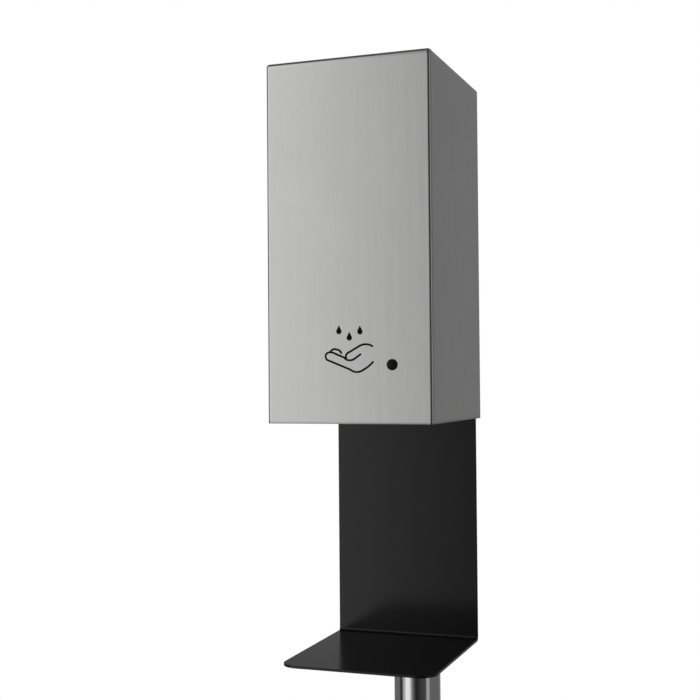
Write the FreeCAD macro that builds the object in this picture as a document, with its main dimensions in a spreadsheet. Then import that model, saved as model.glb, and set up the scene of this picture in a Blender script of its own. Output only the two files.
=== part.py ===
import FreeCAD, Part

import math
import os
from collections import namedtuple

import Sketcher

# Hand sanitizer floor stand, in millimetres.
#
# The row frame has its origin on the floor under the axis of the post, +Z up, and the front of the
# dispenser towards -Y. The dispenser's own pieces are drawn in the dispenser frame: X = 0 in the
# middle, Y = 0 on the front face of the black back plate, and Z = 0 at the bottom edge of the cover.

SIZES = (
    # Stand
    ("dispenser_height", 1010, "floor to the bottom edge of the cover"),
    ("post_setback", 30, "front face of the back plate to the axis of the post"),
    ("base_side", 370, "side of the square base plate"),
    ("base_thickness", 8, "thickness of the base plate"),
    ("base_corner", 20, "corner radius of the base plate"),
    ("base_edge", 1, "rounding of the base plate's upper edge"),
    ("foot_height", 5, "height of a rubber foot"),
    ("foot_radius", 15, "radius of a rubber foot"),
    ("foot_inset", 32, "edge of the base plate to the middle of a foot"),
    ("post_radius", 21.2, "outer radius of the post tube"),
    ("post_wall", 2, "wall of the post tube"),
    ("post_top", 52, "top of the cover down to the top of the post"),
    ("post_plug_length", 30, "length of the threaded plug welded into the foot of the post"),
    ("post_screw_radius", 6, "radius of the screw that holds the post on the base"),
    ("post_screw_head", 12, "head radius of that screw"),
    ("post_screw_length", 34, "length of that screw with its countersunk head"),
    ("post_cap_plate", 3, "thickness of the cap on the post"),
    ("post_cap_insert", 12, "length of the cap inside the tube"),
    # Back plate and drip tray, one folded sheet
    ("plate_width", 130, "width of the folded back plate and tray"),
    ("plate_sheet", 2, "sheet thickness of the back plate and tray"),
    ("plate_top", 42, "top of the cover down to the top of the back plate"),
    ("tray_drop", 195, "bottom edge of the cover down to the top of the tray"),
    ("tray_reach", 143, "front face of the back plate to the front edge of the tray"),
    ("tray_corner", 15, "corner radius of the tray's front corners"),
    ("tray_bend", 2, "inner radius of the bend between plate and tray"),
    ("tray_edge", 0.4, "rounding of the tray's upper edge"),
    ("low_fixing", 60, "lower bracket screw above the bottom edge of the cover"),
    ("high_fixing", 92, "top of the cover down to the upper bracket screw"),
    ("spacer_width", 28, "width of a saddle spacer"),
    ("spacer_height", 20, "height of a saddle spacer"),
    ("spacer_lap", 4, "how far a saddle spacer reaches round the tube"),
    ("bracket_screw_radius", 3, "radius of a bracket screw"),
    ("bracket_screw_head", 5.5, "head radius of a bracket screw"),
    ("bracket_screw_head_height", 3.3, "head height of a bracket screw"),
    ("bracket_screw_length", 20, "length of a bracket screw under its head"),
    ("rivet_nut_radius", 4.4, "body radius of a rivet nut"),
    ("rivet_nut_length", 13, "body length of a rivet nut"),
    ("rivet_nut_flange", 6.5, "flange radius of a rivet nut"),
    ("rivet_nut_flange_thickness", 1, "flange thickness of a rivet nut"),
    # Cover, folded and welded from one sheet, and its hinge
    ("cover_width", 139, "outer width of the cover"),
    ("cover_depth", 150, "outer depth of the cover"),
    ("cover_height", 292, "outer height of the cover"),
    ("cover_wall", 1.2, "sheet thickness of the cover"),
    ("cover_bend", 2.6, "outer radius of the cover's bends"),
    ("hinge_from_back", 8, "back edge of the cover to the hinge axis"),
    ("hinge_from_top", 9, "top of the cover down to the hinge axis"),
    ("hinge_pin_radius", 2.5, "radius of a hinge pin"),
    ("hinge_pin_length", 6.5, "length of a hinge pin inside the cover"),
    ("lens_side", 36.5, "middle of the cover to the status lens"),
    ("lens_height", 46.4, "bottom edge of the cover up to the status lens"),
    ("lens_radius", 4, "radius of the status lens"),
    ("lens_proud", 0.3, "how far the status lens stands out of the cover"),
    ("lens_flange", 1.5, "width and thickness of the lens's inner flange"),
    ("symbol_width", 40, "width of the printed hand"),
    ("symbol_stroke", 1.2, "width of the printed lines"),
    ("symbol_side", 0.8, "middle of the printed hand from the middle of the cover"),
    ("symbol_height", 51.8, "middle of the printed hand above the bottom edge of the cover"),
    ("drop_radius", 2, "radius of the round end of a printed drop"),
    ("drop_length", 6.7, "length of a printed drop"),
    ("ink_thickness", 0.15, "thickness of the printing"),
    # Chassis, one folded sheet behind and under the works
    ("chassis_sheet", 1.5, "sheet thickness of the chassis"),
    ("chassis_side_gap", 0.5, "gap between chassis and cover at each side"),
    ("chassis_flange", 25, "depth of the chassis's side flanges"),
    ("shelf_recess", 2, "bottom edge of the cover up to the underside of the shelf"),
    ("shelf_front_gap", 0.4, "front edge of the shelf to the inside of the cover"),
    ("hinge_boss_gap", 0.5, "top of the side flanges to the inside of the cover"),
    ("chassis_screw_side", 45, "middle to a chassis screw"),
    ("chassis_screw_low", 36, "height of the lower chassis screws"),
    ("chassis_screw_high", 56, "top of the cover down to the upper chassis screws"),
    ("chassis_screw_radius", 2.5, "radius of a chassis screw"),
    ("chassis_screw_head", 4.5, "head radius of a chassis screw"),
    ("chassis_screw_head_height", 3, "head height of a chassis screw"),
    ("chassis_nut_radius", 4.6, "corner radius of a chassis nut"),
    ("chassis_nut_height", 4, "height of a chassis nut"),
    # Refill bottle, its cap and the deck that it docks in
    ("dock_reach", 68, "front of the back plate to the axis of neck, tube and nozzle"),
    ("bottle_width", 104, "width of the refill bottle"),
    ("bottle_depth", 84, "depth of the refill bottle"),
    ("bottle_headroom", 34, "top of the cover down to the top of the bottle"),
    ("bottle_corner", 16, "corner radius of the bottle's body"),
    ("bottle_edge", 10, "rounding of the bottle's ends"),
    ("neck_radius", 14, "radius of the bottle's neck"),
    ("neck_free", 16, "length of neck between the cap and the bottle's body"),
    ("valve_cap_radius", 17, "radius of the cap on the neck"),
    ("valve_cap_height", 18, "height of that cap"),
    ("valve_cap_floor", 2, "thickness of that cap's end"),
    ("spout_gap", 2.2, "end of the cap's spout down to the tube's upper bend"),
    ("spout_bore", 1, "radius of the bore in the spout"),
    ("deck_height", 23, "top of the pump case up to the underside of the deck"),
    ("deck_plate", 3, "thickness of the deck"),
    ("deck_half_width", 62, "middle to the side of the deck"),
    ("deck_reach", 118, "front of the back plate to the front edge of the deck"),
    ("deck_flange", 12, "height of the deck's back flange"),
    ("deck_wall", 2.5, "wall of the deck's socket, rim and skirt"),
    ("deck_rim", 28, "height of the rim round the bottle"),
    ("socket_drop", 12, "underside of the deck down to the seat of the cap"),
    ("deck_screw_side", 52, "middle to a deck screw"),
    # Peristaltic pump
    ("tube_radius", 3.5, "outer radius of the dosing tube"),
    ("tube_bore", 2, "radius of the bore of the dosing tube"),
    ("tube_bend", 10, "radius of the tube's bends above and below the pump"),
    ("tube_run", 2, "straight run between a bend and the pump's half turn"),
    ("pump_height", 48, "bottom edge of the cover up to the pump's axis"),
    ("roller_radius", 4, "radius of a pump roller"),
    ("roller_orbit", 9, "pump axis to the axis of a roller"),
    ("roller_length", 9, "length of a pump roller"),
    ("roller_pin_radius", 1.2, "radius of a roller's pin"),
    ("rotor_disc", 1.5, "thickness of the rotor's discs"),
    ("rotor_radius", 12, "radius of the rotor's discs"),
    ("rotor_hub", 4.5, "radius of the rotor's hub"),
    ("rotor_side_gap", 0.7, "rotor to the pump case and to its lid"),
    ("pump_case_wall", 4.6, "wall of the pump case round the track"),
    ("pump_case_back", 3, "thickness of the pump case's back"),
    ("pump_case_right", 17, "pump axis to the straight side of the case"),
    ("pump_lid_thickness", 2.5, "thickness of the pump lid"),
    ("lid_screw_radius", 1.2, "radius of a lid screw"),
    ("lid_screw_head", 2.4, "head radius of a lid screw"),
    ("lid_screw_length", 11, "length of a lid screw under its head"),
    ("shaft_radius", 2, "radius of the motor shaft"),
    ("gearbox_radius", 14, "radius of the gearbox"),
    ("gearbox_length", 22, "length of the gearbox"),
    ("motor_radius", 12, "radius of the motor can"),
    ("motor_length", 26, "length of the motor can"),
    ("motor_screw_radius", 1.5, "radius of a motor screw"),
    ("motor_screw_head", 3, "head radius of a motor screw"),
    ("motor_screw_length", 11, "length of a motor screw with its head"),
    ("motor_screw_offset", 9, "pump axis to a motor screw"),
    ("pump_bracket_sheet", 1.5, "sheet thickness of the pump bracket"),
    ("pump_bracket_foot_width", 20, "width of the pump bracket's foot"),
    ("pump_bracket_screw_side", 5.5, "middle of the foot to one of its screws"),
    ("pump_bracket_foot", 18, "depth of the pump bracket's foot"),
    ("pump_bracket_above", 18, "pump axis up to the top of the pump bracket"),
    ("shelf_screw_radius", 2, "radius of a screw into the shelf"),
    ("shelf_screw_head", 3.8, "head radius of a screw into the shelf"),
    ("shelf_screw_head_height", 2.5, "head height of a screw into the shelf"),
    # Nozzle
    ("nozzle_collar", 8, "radius of the nozzle's collar on the shelf"),
    ("nozzle_collar_height", 2, "height of the nozzle's collar"),
    ("nozzle_radius", 6, "radius of the nozzle in the shelf"),
    ("nozzle_tip", 3.4, "radius of the nozzle's tip"),
    ("nozzle_drop", 1.5, "tip of the nozzle below the bottom edge of the cover"),
    ("nozzle_sleeve", 4.7, "top of the nozzle's sleeve up to the tube's lower bend"),
    # Batteries
    ("cell_radius", 13.1, "radius of a battery cell"),
    ("cell_length", 50, "length of a battery cell with its cap"),
    ("cell_cap", 1.5, "height of a cell's metal cap"),
    ("cell_cap_radius", 3, "radius of a cell's metal cap"),
    ("contact_thickness", 0.8, "thickness of a battery contact"),
    ("contact_side", 14, "side of a battery contact"),
    ("battery_wall", 1.6, "wall of the battery tray"),
    ("battery_left", 8.6, "middle to the left side of the battery tray"),
    ("battery_back_gap", 12, "front of the back plate to the battery tray"),
    ("battery_door_thickness", 2, "thickness of the battery door"),
    ("battery_ear", 8, "reach of a battery tray ear"),
    ("battery_ear_thickness", 2, "thickness of a battery tray ear"),
    ("battery_ear_low", 20, "back of the battery tray to its rear ear"),
    # Electronics
    ("board_thickness", 1.6, "thickness of a circuit board"),
    ("control_board_width", 48, "width of the control board"),
    ("control_board_height", 36, "height of the control board"),
    ("control_board_left", 12, "middle to the left side of the control board"),
    ("control_board_low", 42, "bottom edge of the cover up to the control board"),
    ("control_board_gap", 9, "chassis to the control board"),
    ("chip_side", 9, "side of the processor on the control board"),
    ("capacitor_radius", 3.6, "radius of a capacitor on the control board"),
    ("board_screw_inset", 4, "edge of a board to the middle of its screws"),
    ("board_screw_radius", 1.5, "radius of a control board screw"),
    ("board_screw_head", 2.8, "head radius of a control board screw"),
    ("board_screw_head_height", 2, "head height of a control board screw"),
    ("standoff_radius", 3, "radius of a control board standoff"),
    ("small_screw_radius", 1, "radius of a small board screw"),
    ("small_screw_head", 2, "head radius of a small board screw"),
    ("small_screw_head_height", 1.4, "head height of a small board screw"),
    ("sensor_reach", 105, "front of the back plate to the hand sensor"),
    ("sensor_lens_radius", 6, "radius of the sensor lens in the shelf"),
    ("sensor_lens_flange", 8, "flange radius of the sensor lens"),
    ("sensor_lens_flange_thickness", 1.5, "flange thickness of the sensor lens"),
    ("sensor_board_width", 14, "width of the sensor board"),
    ("sensor_board_length", 36, "length of the sensor board"),
    ("sensor_board_gap", 9, "shelf to the sensor board"),
    ("sensor_standoff_radius", 2.5, "radius of a sensor board standoff"),
    ("light_radius", 2.5, "radius of a light-emitting diode"),
    ("light_length", 5, "length of a light-emitting diode"),
    ("light_spacing", 7, "spacing of the sensor's two diodes"),
    ("indicator_board_width", 18, "width of the indicator board"),
    ("indicator_board_height", 18, "height of the indicator board"),
    ("indicator_board_gap", 1.2, "battery tray's tab to the indicator board"),
    # Power switch in the deck's skirt
    ("skirt_height", 22, "height of the skirt that holds the switch"),
    ("skirt_width", 30, "width of that skirt"),
    ("switch_side", -30, "middle to the switch"),
    ("switch_width", 19, "width of the switch in its window"),
    ("switch_height", 13, "height of the switch in its window"),
    ("switch_depth", 14, "depth of the switch behind the skirt"),
    ("switch_bezel", 1.2, "width and thickness of the switch's bezel"),
    ("rocker_width", 15, "width of the rocker"),
    ("rocker_height", 8.6, "height of the rocker"),
    ("rocker_depth", 4, "rocker axis to the middle of its front"),
    ("rocker_tilt", 8, "tilt of the rocker at rest, degrees"),
    ("rocker_well", 8, "depth of the well that the rocker sits in"),
    # Cam lock under the shelf and the catch that it holds
    ("lock_side", -40, "middle to the lock"),
    ("lock_reach", 118, "front of the back plate to the lock"),
    ("lock_radius", 9, "radius of the lock's housing"),
    ("lock_flange", 11, "flange radius of the lock's housing"),
    ("lock_flange_thickness", 1.5, "flange thickness of the lock's housing"),
    ("lock_length", 18, "length of the lock's housing above its flange"),
    ("lock_plug_radius", 6.1, "radius of the lock's plug"),
    ("lock_nut_radius", 13.5, "corner radius of the lock's nut"),
    ("lock_nut_height", 4, "height of the lock's nut"),
    ("lock_cam_sheet", 2, "thickness of the cam"),
    ("lock_cam_width", 12, "width of the cam"),
    ("lock_cam_length", 22, "lock axis to the tip of the cam"),
    ("lock_stub_radius", 3.5, "radius of the plug's stub in the cam"),
    ("lock_screw_radius", 2, "radius of the cam's screw"),
    ("lock_screw_head", 4, "head radius of the cam's screw"),
    ("lock_screw_head_height", 2, "head height of the cam's screw"),
    ("key_slot_width", 1.8, "width of the keyway"),
    ("key_slot_length", 8, "length of the keyway"),
    ("key_slot_depth", 10, "depth of the keyway"),
    ("catch_sheet", 1.5, "sheet thickness of the catch"),
    ("catch_width", 10, "width of the catch"),
    ("catch_side_gap", 4, "side of the unlocked cam to the catch"),
    ("catch_flange", 18, "height of the catch's welded flange"),
    ("catch_lift", 2, "cam screw up to the arm of the catch"),
    ("catch_lip", 12, "height of the catch's lip"),
    # Clearances that many pieces share
    ("running_gap", 0.08, "radial clearance of a pin or shaft in its bore"),
    ("moving_gap", 0.3, "clearance between faces that move past each other"),
    ("seat_gap", 0.1, "clearance of a piece in its seat"),
    ("thread_gap", 0.05, "clearance of a screw in its thread"),
    ("screw_hole_gap", 0.4, "radial clearance of a screw in a plain hole"),
    ("overcut", 5, "how far a cut runs past the face that it opens"),
)

# Joint ranges that the geometry leaves room for: cover 0 to 90 degrees about the hinge pins, lock
# cam 0 to 90 degrees, rocker 0 to twice its tilt, pump rotor and rollers without limit.

# Edges and faces this close to a place count as lying there
TOUCH = 1e-3

doc = FreeCAD.newDocument("SanitizerStand")
sheet = doc.addObject("Spreadsheet::Sheet", "Sizes")
for row, (size_name, size_value, meaning) in enumerate(SIZES, 1):
    sheet.set(f"A{row}", size_name)
    sheet.set(f"B{row}", str(size_value))
    sheet.set(f"C{row}", meaning)
    sheet.setAlias(f"B{row}", size_name)
doc.recompute()


class Size:
    """A length with its present value and the sheet expression that gives it."""

    def __init__(self, text, value):
        self.text = text
        self.value = value

    def _join(self, sign, other, value, swap=False):
        first, second = self.text, text_of(other)
        if swap:
            first, second = second, first
        return Size(f"({first} {sign} {second})", value)

    def __add__(self, other):
        return self._join("+", other, self.value + value_of(other))

    def __sub__(self, other):
        return self._join("-", other, self.value - value_of(other))

    def __rsub__(self, other):
        return self._join("-", other, value_of(other) - self.value, swap=True)

    def __mul__(self, other):
        return self._join("*", other, self.value * value_of(other))

    def __truediv__(self, other):
        return self._join("/", other, self.value / value_of(other))

    def __neg__(self):
        return Size(f"(0 - {self.text})", -self.value)

    __radd__ = __add__
    __rmul__ = __mul__


def value_of(size):
    return size.value if isinstance(size, Size) else float(size)


def text_of(size):
    return size.text if isinstance(size, Size) else f"{float(size):.9f}"


def root(size):
    return Size(f"sqrt({size.text})", math.sqrt(size.value))


class SheetSizes:
    """Every size of the sheet as an attribute."""

    def __getattr__(self, name):
        return Size(f"Sizes.{name}", float(sheet.get(name)))


S = SheetSizes()


def bind(item, property_name, size):
    """Binds a property to the sheet's expression for a size."""
    item.setExpression(property_name, text_of(size))


def move(item, x, y, z):
    """Binds the base of an object's Placement."""
    for axis, size in zip("xyz", (x, y, z)):
        bind(item, f"Placement.Base.{axis}", size)


Circle = namedtuple("Circle", "x y radius")


def rectangle(left, low, right, high):
    return [(left, low), (right, low), (right, high), (left, high)]


class Piece:
    """A body that grows by pads, pockets, turned profiles and fillets."""

    normals = {"XY_Plane": 1, "XZ_Plane": -1, "YZ_Plane": 1}

    def __init__(self, label):
        self.body = doc.addObject("PartDesign::Body", label)
        self.body.Label = label

    def sketch(self, plane, at, outlines):
        """Draws closed outlines on an origin plane moved to the coordinate at."""
        sketch = self.body.newObject("Sketcher::SketchObject", f"{self.body.Label}_sketch")
        origin_plane = [item for item in self.body.Origin.OriginFeatures if item.Role == plane][0]
        sketch.AttachmentSupport = [(origin_plane, "")]
        sketch.MapMode = "FlatFace"
        bind(sketch, "AttachmentOffset.Base.z", at * self.normals[plane])
        for outline in outlines:
            if isinstance(outline, Circle):
                self._circle(sketch, outline)
            else:
                self._polygon(sketch, outline)
        return sketch

    def _tie(self, sketch, geometry, vertex, x, y):
        """Holds a point of the sketch at (x, y) from the sketch's origin."""
        for kind, axis, size in (("DistanceX", -2, x), ("DistanceY", -1, y)):
            if isinstance(size, Size):
                constraint = Sketcher.Constraint(kind, -1, 1, geometry, vertex, size.value)
                number = sketch.addConstraint(constraint)
                sketch.setExpression(f"Constraints[{number}]", size.text)
            elif size:
                sketch.addConstraint(Sketcher.Constraint(kind, -1, 1, geometry, vertex, float(size)))
            else:
                sketch.addConstraint(Sketcher.Constraint("PointOnObject", geometry, vertex, axis))

    def _circle(self, sketch, circle):
        centre = FreeCAD.Vector(value_of(circle.x), value_of(circle.y), 0)
        round_line = Part.Circle(centre, FreeCAD.Vector(0, 0, 1), value_of(circle.radius))
        geometry = sketch.addGeometry(round_line, False)
        self._tie(sketch, geometry, 3, circle.x, circle.y)
        number = sketch.addConstraint(Sketcher.Constraint("Radius", geometry, value_of(circle.radius)))
        sketch.setExpression(f"Constraints[{number}]", text_of(circle.radius))

    def _polygon(self, sketch, corners):
        places = [FreeCAD.Vector(value_of(x), value_of(y), 0) for x, y in corners]
        count = len(places)
        first = sketch.GeometryCount
        for index in range(count):
            edge = Part.LineSegment(places[index], places[(index + 1) % count])
            sketch.addGeometry(edge, False)
        for index in range(count):
            after = first + (index + 1) % count
            sketch.addConstraint(Sketcher.Constraint("Coincident", first + index, 2, after, 1))
        for index, (x, y) in enumerate(corners):
            self._tie(sketch, first + index, 1, x, y)

    def _extrude(self, kind, plane, at, length, outlines, backwards, middle):
        sketch = self.sketch(plane, at, outlines)
        feature = self.body.newObject(kind, kind.split("::")[1])
        feature.Profile = sketch
        if middle:
            feature.SideType = "Symmetric"
        feature.Reversed = backwards
        bind(feature, "Length", length)
        sketch.Visibility = False
        doc.recompute()
        return feature

    def pad(self, plane, at, length, *outlines, toward=1, middle=False):
        """Adds material from the plane at, towards + or - of the row axis."""
        backwards = toward * self.normals[plane] < 0
        self._extrude("PartDesign::Pad", plane, at, length, outlines, backwards, middle)
        return self

    def pocket(self, plane, at, length, *outlines, toward=1, middle=False):
        """Cuts material from the plane at, towards + or - of the row axis."""
        before = self.body.Tip.Shape.Volume
        backwards = toward * self.normals[plane] > 0
        self._extrude("PartDesign::Pocket", plane, at, length, outlines, backwards, middle)
        if self.body.Tip.Shape.Volume >= before:
            raise RuntimeError(f"a pocket in {self.body.Label} cuts nothing")
        return self

    def turn(self, *outlines):
        """Turns an outline of (radius, height) points about the body's Z axis."""
        sketch = self.sketch("XZ_Plane", 0, outlines)
        feature = self.body.newObject("PartDesign::Revolution", "Revolution")
        feature.Profile = sketch
        feature.ReferenceAxis = (sketch, ["V_Axis"])
        feature.Angle = 360
        sketch.Visibility = False
        doc.recompute()
        return self

    def edges(self, direction, **at):
        """Names the straight edges along a direction that lie at the given coordinates."""
        found = []
        for number, edge in enumerate(self.body.Tip.Shape.Edges, 1):
            if edge.Degenerated or edge.Curve.TypeId != "Part::GeomLine" or len(edge.Vertexes) != 2:
                continue
            ends = [vertex.Point for vertex in edge.Vertexes]
            across = [axis for axis in "xyz" if axis != direction]
            runs = all(abs(getattr(ends[0], axis) - getattr(ends[1], axis)) < TOUCH for axis in across)
            placed = all(abs(getattr(ends[0], axis) - value_of(size)) < TOUCH
                         for axis, size in at.items())
            if runs and placed:
                found.append(f"Edge{number}")
        if not found:
            raise RuntimeError(f"no edge along {direction} of {self.body.Label} at {list(at)}")
        return found

    def round(self, radius, *edge_lists):
        """Rounds the named edges."""
        names = [name for names in edge_lists for name in names]
        base = self.body.Tip
        feature = self.body.newObject("PartDesign::Fillet", "Fillet")
        feature.Base = (base, names)
        bind(feature, "Radius", radius)
        doc.recompute()
        return self

    def bevel(self, size, *edge_lists):
        """Chamfers the named edges."""
        names = [name for names in edge_lists for name in names]
        base = self.body.Tip
        feature = self.body.newObject("PartDesign::Chamfer", "Chamfer")
        feature.Base = (base, names)
        bind(feature, "Size", size)
        doc.recompute()
        return self

    def flat_edges(self, z):
        """Names every edge of the face that lies level at the height z."""
        shape = self.body.Tip.Shape
        found = []
        for number, edge in enumerate(shape.Edges, 1):
            box = edge.BoundBox
            if abs(box.ZMin - value_of(z)) < TOUCH and abs(box.ZMax - value_of(z)) < TOUCH:
                found.append(f"Edge{number}")
        return found


nodes = []

turns = {
    "x": FreeCAD.Rotation(FreeCAD.Vector(0, 1, 0), 90),
    "y": FreeCAD.Rotation(FreeCAD.Vector(1, 0, 0), -90),
    "z": FreeCAD.Rotation(),
}


def in_dispenser(item):
    """Moves an object from the dispenser frame into the row frame."""
    move(item, 0, -S.post_setback, S.dispenser_height)


def keep(piece, stand=False):
    """Makes a body a node of the assembly."""
    if not stand:
        in_dispenser(piece.body)
    nodes.append(piece.body)


def keep_solids(label, *items, stand=False):
    """Makes a node of one or more solids built from primitives."""
    node = doc.addObject("Part::Compound", label)
    node.Label = label
    node.Links = list(items)
    if not stand:
        in_dispenser(node)
    nodes.append(node)


def block(left, right, near, far, low, high):
    """A box between two values of X, of Y and of Z."""
    box = doc.addObject("Part::Box", "Block")
    bind(box, "Length", right - left)
    bind(box, "Width", far - near)
    bind(box, "Height", high - low)
    move(box, left, near, low)
    return box


def rod(axis, x, y, z, length, radius, end_radius=None):
    """A cylinder or cone that starts at a point and runs along + of an axis."""
    if end_radius is None:
        item = doc.addObject("Part::Cylinder", "Rod")
        bind(item, "Radius", radius)
    else:
        item = doc.addObject("Part::Cone", "Taper")
        bind(item, "Radius1", radius)
        bind(item, "Radius2", end_radius)
    bind(item, "Height", length)
    item.Placement = FreeCAD.Placement(FreeCAD.Vector(), turns[axis])
    move(item, x, y, z)
    return item


def hexagon(axis, x, y, z, length, corner_radius):
    """A hexagonal prism that starts at a point and runs along + of an axis."""
    item = doc.addObject("Part::Prism", "Hexagon")
    item.Polygon = 6
    bind(item, "Circumradius", corner_radius)
    bind(item, "Height", length)
    item.Placement = FreeCAD.Placement(FreeCAD.Vector(), turns[axis])
    move(item, x, y, z)
    return item


def join(*items):
    fused = doc.addObject("Part::MultiFuse", "Join")
    fused.Shapes = list(items)
    fused.Refine = True
    return fused


def cut(base, *tools):
    """Cuts every tool away from the base."""
    result = doc.addObject("Part::Cut", "Cut")
    result.Base = base
    result.Tool = tools[0] if len(tools) == 1 else join(*tools)
    result.Refine = True
    return result


# Places in the dispenser frame that several pieces share

cover_side = S.cover_width / 2
cover_side_inside = cover_side - S.cover_wall
cover_front = -S.cover_depth
cover_front_inside = cover_front + S.cover_wall
cover_top_inside = S.cover_height - S.cover_wall
hinge_y = -S.hinge_from_back
hinge_z = S.cover_height - S.hinge_from_top

chassis_side = cover_side_inside - S.chassis_side_gap
chassis_face = -S.chassis_sheet
shelf_low = S.shelf_recess
shelf_top = S.shelf_recess + S.chassis_sheet
shelf_front = cover_front_inside + S.shelf_front_gap

post_axis = S.post_setback
post_front = post_axis - S.post_radius
plate_back = S.plate_sheet

dock_y = -S.dock_reach

pump_x = -(S.tube_bend + S.tube_run)
pump_z = S.pump_height
tube_wrap = S.roller_orbit + S.roller_radius + S.moving_gap + S.tube_radius
track_radius = tube_wrap + S.tube_radius + S.seat_gap
case_radius = track_radius + S.pump_case_wall
rotor_back = dock_y + S.roller_length / 2 + S.moving_gap + S.rotor_disc
rotor_front = dock_y - S.roller_length / 2 - S.moving_gap - S.rotor_disc
case_floor = rotor_back + S.rotor_side_gap
case_back = case_floor + S.pump_case_back
lid_back = rotor_front - S.rotor_side_gap
lid_front = lid_back - S.pump_lid_thickness
gearbox_front = case_back + S.pump_bracket_sheet
high_bend = pump_z + tube_wrap + S.tube_bend
low_bend = pump_z - tube_wrap - S.tube_bend

deck_low = pump_z + case_radius + S.deck_height
deck_top = deck_low + S.deck_plate
cap_seat = deck_low - S.socket_drop
cap_top = cap_seat + S.valve_cap_height
spout_end = high_bend + S.spout_gap
bottle_low = cap_top + S.neck_free
bottle_top = S.cover_height - S.bottle_headroom

plate_top = S.cover_height - S.plate_top
post_top = S.cover_height - S.post_top
fixings = (S.low_fixing, S.cover_height - S.high_fixing)
chassis_fixings = [(side * S.chassis_screw_side, height)
                   for side in (-1, 1)
                   for height in (S.chassis_screw_low, S.cover_height - S.chassis_screw_high)]


# Stand

base_low = S.foot_height
base_top = S.foot_height + S.base_thickness
half_base = S.base_side / 2
post_height = S.dispenser_height + post_top - base_top
post_inside = S.post_radius - S.post_wall


def make_base_plate():
    plate = Piece("base_plate")
    plate.pad("XY_Plane", base_low, S.base_thickness,
              rectangle(-half_base, -half_base, half_base, half_base))
    corners = [plate.edges("z", x=side_x * half_base, y=side_y * half_base)
               for side_x in (-1, 1) for side_y in (-1, 1)]
    plate.round(S.base_corner, *corners)
    plate.round(S.base_edge, plate.flat_edges(base_top))
    hole = S.post_screw_radius + S.screw_hole_gap
    plate.pocket("XY_Plane", base_low, S.base_thickness, Circle(0, 0, hole))
    rim = [name for name in plate.flat_edges(base_low)
           if plate.body.Tip.Shape.getElement(name).BoundBox.XMax < value_of(hole) + 1]
    plate.bevel(S.post_screw_head - S.post_screw_radius, rim)
    keep(plate, stand=True)


def make_rubber_feet():
    reach = half_base - S.foot_inset
    feet = [rod("z", side_x * reach, side_y * reach, 0, S.foot_height, S.foot_radius)
            for side_x in (-1, 1) for side_y in (-1, 1)]
    keep_solids("rubber_feet", *feet, stand=True)


def make_post():
    post = Piece("post")
    post.pad("XY_Plane", 0, post_height, Circle(0, 0, S.post_radius), Circle(0, 0, post_inside))
    holes = [Circle(0, S.dispenser_height + height - base_top, S.rivet_nut_radius + S.seat_gap)
             for height in fixings]
    post.pocket("XZ_Plane", 0, S.post_radius + S.overcut, *holes, toward=-1)
    move(post.body, 0, 0, base_top)
    keep(post, stand=True)


def make_post_plug():
    plug = Piece("post_plug")
    plug.pad("XY_Plane", 0, S.post_plug_length,
             Circle(0, 0, post_inside - S.seat_gap),
             Circle(0, 0, S.post_screw_radius + S.thread_gap))
    move(plug.body, 0, 0, base_top)
    keep(plug, stand=True)


def make_post_screw():
    head = S.post_screw_head - S.post_screw_radius
    screw = Piece("post_screw")
    screw.turn([(0, 0), (S.post_screw_head, 0), (S.post_screw_radius, head),
                (S.post_screw_radius, S.post_screw_length), (0, S.post_screw_length)])
    move(screw.body, 0, 0, base_low)
    keep(screw, stand=True)


def make_post_cap():
    cap = Piece("post_cap")
    insert = post_inside - S.seat_gap
    cap.turn([(0, -S.post_cap_insert), (insert, -S.post_cap_insert), (insert, 0),
              (S.post_radius, 0), (S.post_radius, S.post_cap_plate), (0, S.post_cap_plate)])
    move(cap.body, 0, 0, S.dispenser_height + post_top)
    keep(cap, stand=True)


# Back plate, drip tray and what fixes them to the post

def make_drip_tray_bracket():
    bracket = Piece("drip_tray_bracket")
    tray_top = -S.tray_drop
    tray_low = tray_top - S.plate_sheet
    tray_front = -S.tray_reach
    profile = [(plate_back, tray_low), (plate_back, plate_top), (0, plate_top),
               (0, tray_top), (tray_front, tray_top), (tray_front, tray_low)]
    half = S.plate_width / 2
    bracket.pad("YZ_Plane", 0, S.plate_width, profile, middle=True)
    bracket.round(S.tray_bend, bracket.edges("x", y=0, z=tray_top))
    bracket.round(S.tray_bend + S.plate_sheet, bracket.edges("x", y=plate_back, z=tray_low))
    bracket.round(S.tray_corner, bracket.edges("z", x=-half, y=tray_front),
                  bracket.edges("z", x=half, y=tray_front))
    bracket.round(S.tray_edge, bracket.edges("x", y=tray_front, z=tray_top))
    post_holes = [Circle(0, height, S.bracket_screw_radius + S.screw_hole_gap) for height in fixings]
    chassis_holes = [Circle(x, z, S.chassis_screw_radius + S.screw_hole_gap)
                     for x, z in chassis_fixings]
    bracket.pocket("XZ_Plane", 0, S.plate_sheet, *post_holes, *chassis_holes)
    keep(bracket)


def make_saddle_spacers():
    spacers = []
    for height in fixings:
        body = block(-S.spacer_width / 2, S.spacer_width / 2, plate_back, post_front + S.spacer_lap,
                     height - S.spacer_height / 2, height + S.spacer_height / 2)
        tube = rod("z", 0, post_axis, height - S.spacer_height, 2 * S.spacer_height,
                   S.post_radius + S.seat_gap)
        hole = rod("y", 0, plate_back - S.overcut, height, S.post_setback,
                   S.bracket_screw_radius + S.screw_hole_gap)
        seat = rod("y", 0, post_front - S.rivet_nut_flange_thickness - S.seat_gap, height,
                   S.post_setback, S.rivet_nut_flange + S.seat_gap)
        spacers.append(cut(body, tube, hole, seat))
    keep_solids("saddle_spacers", *spacers)


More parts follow.
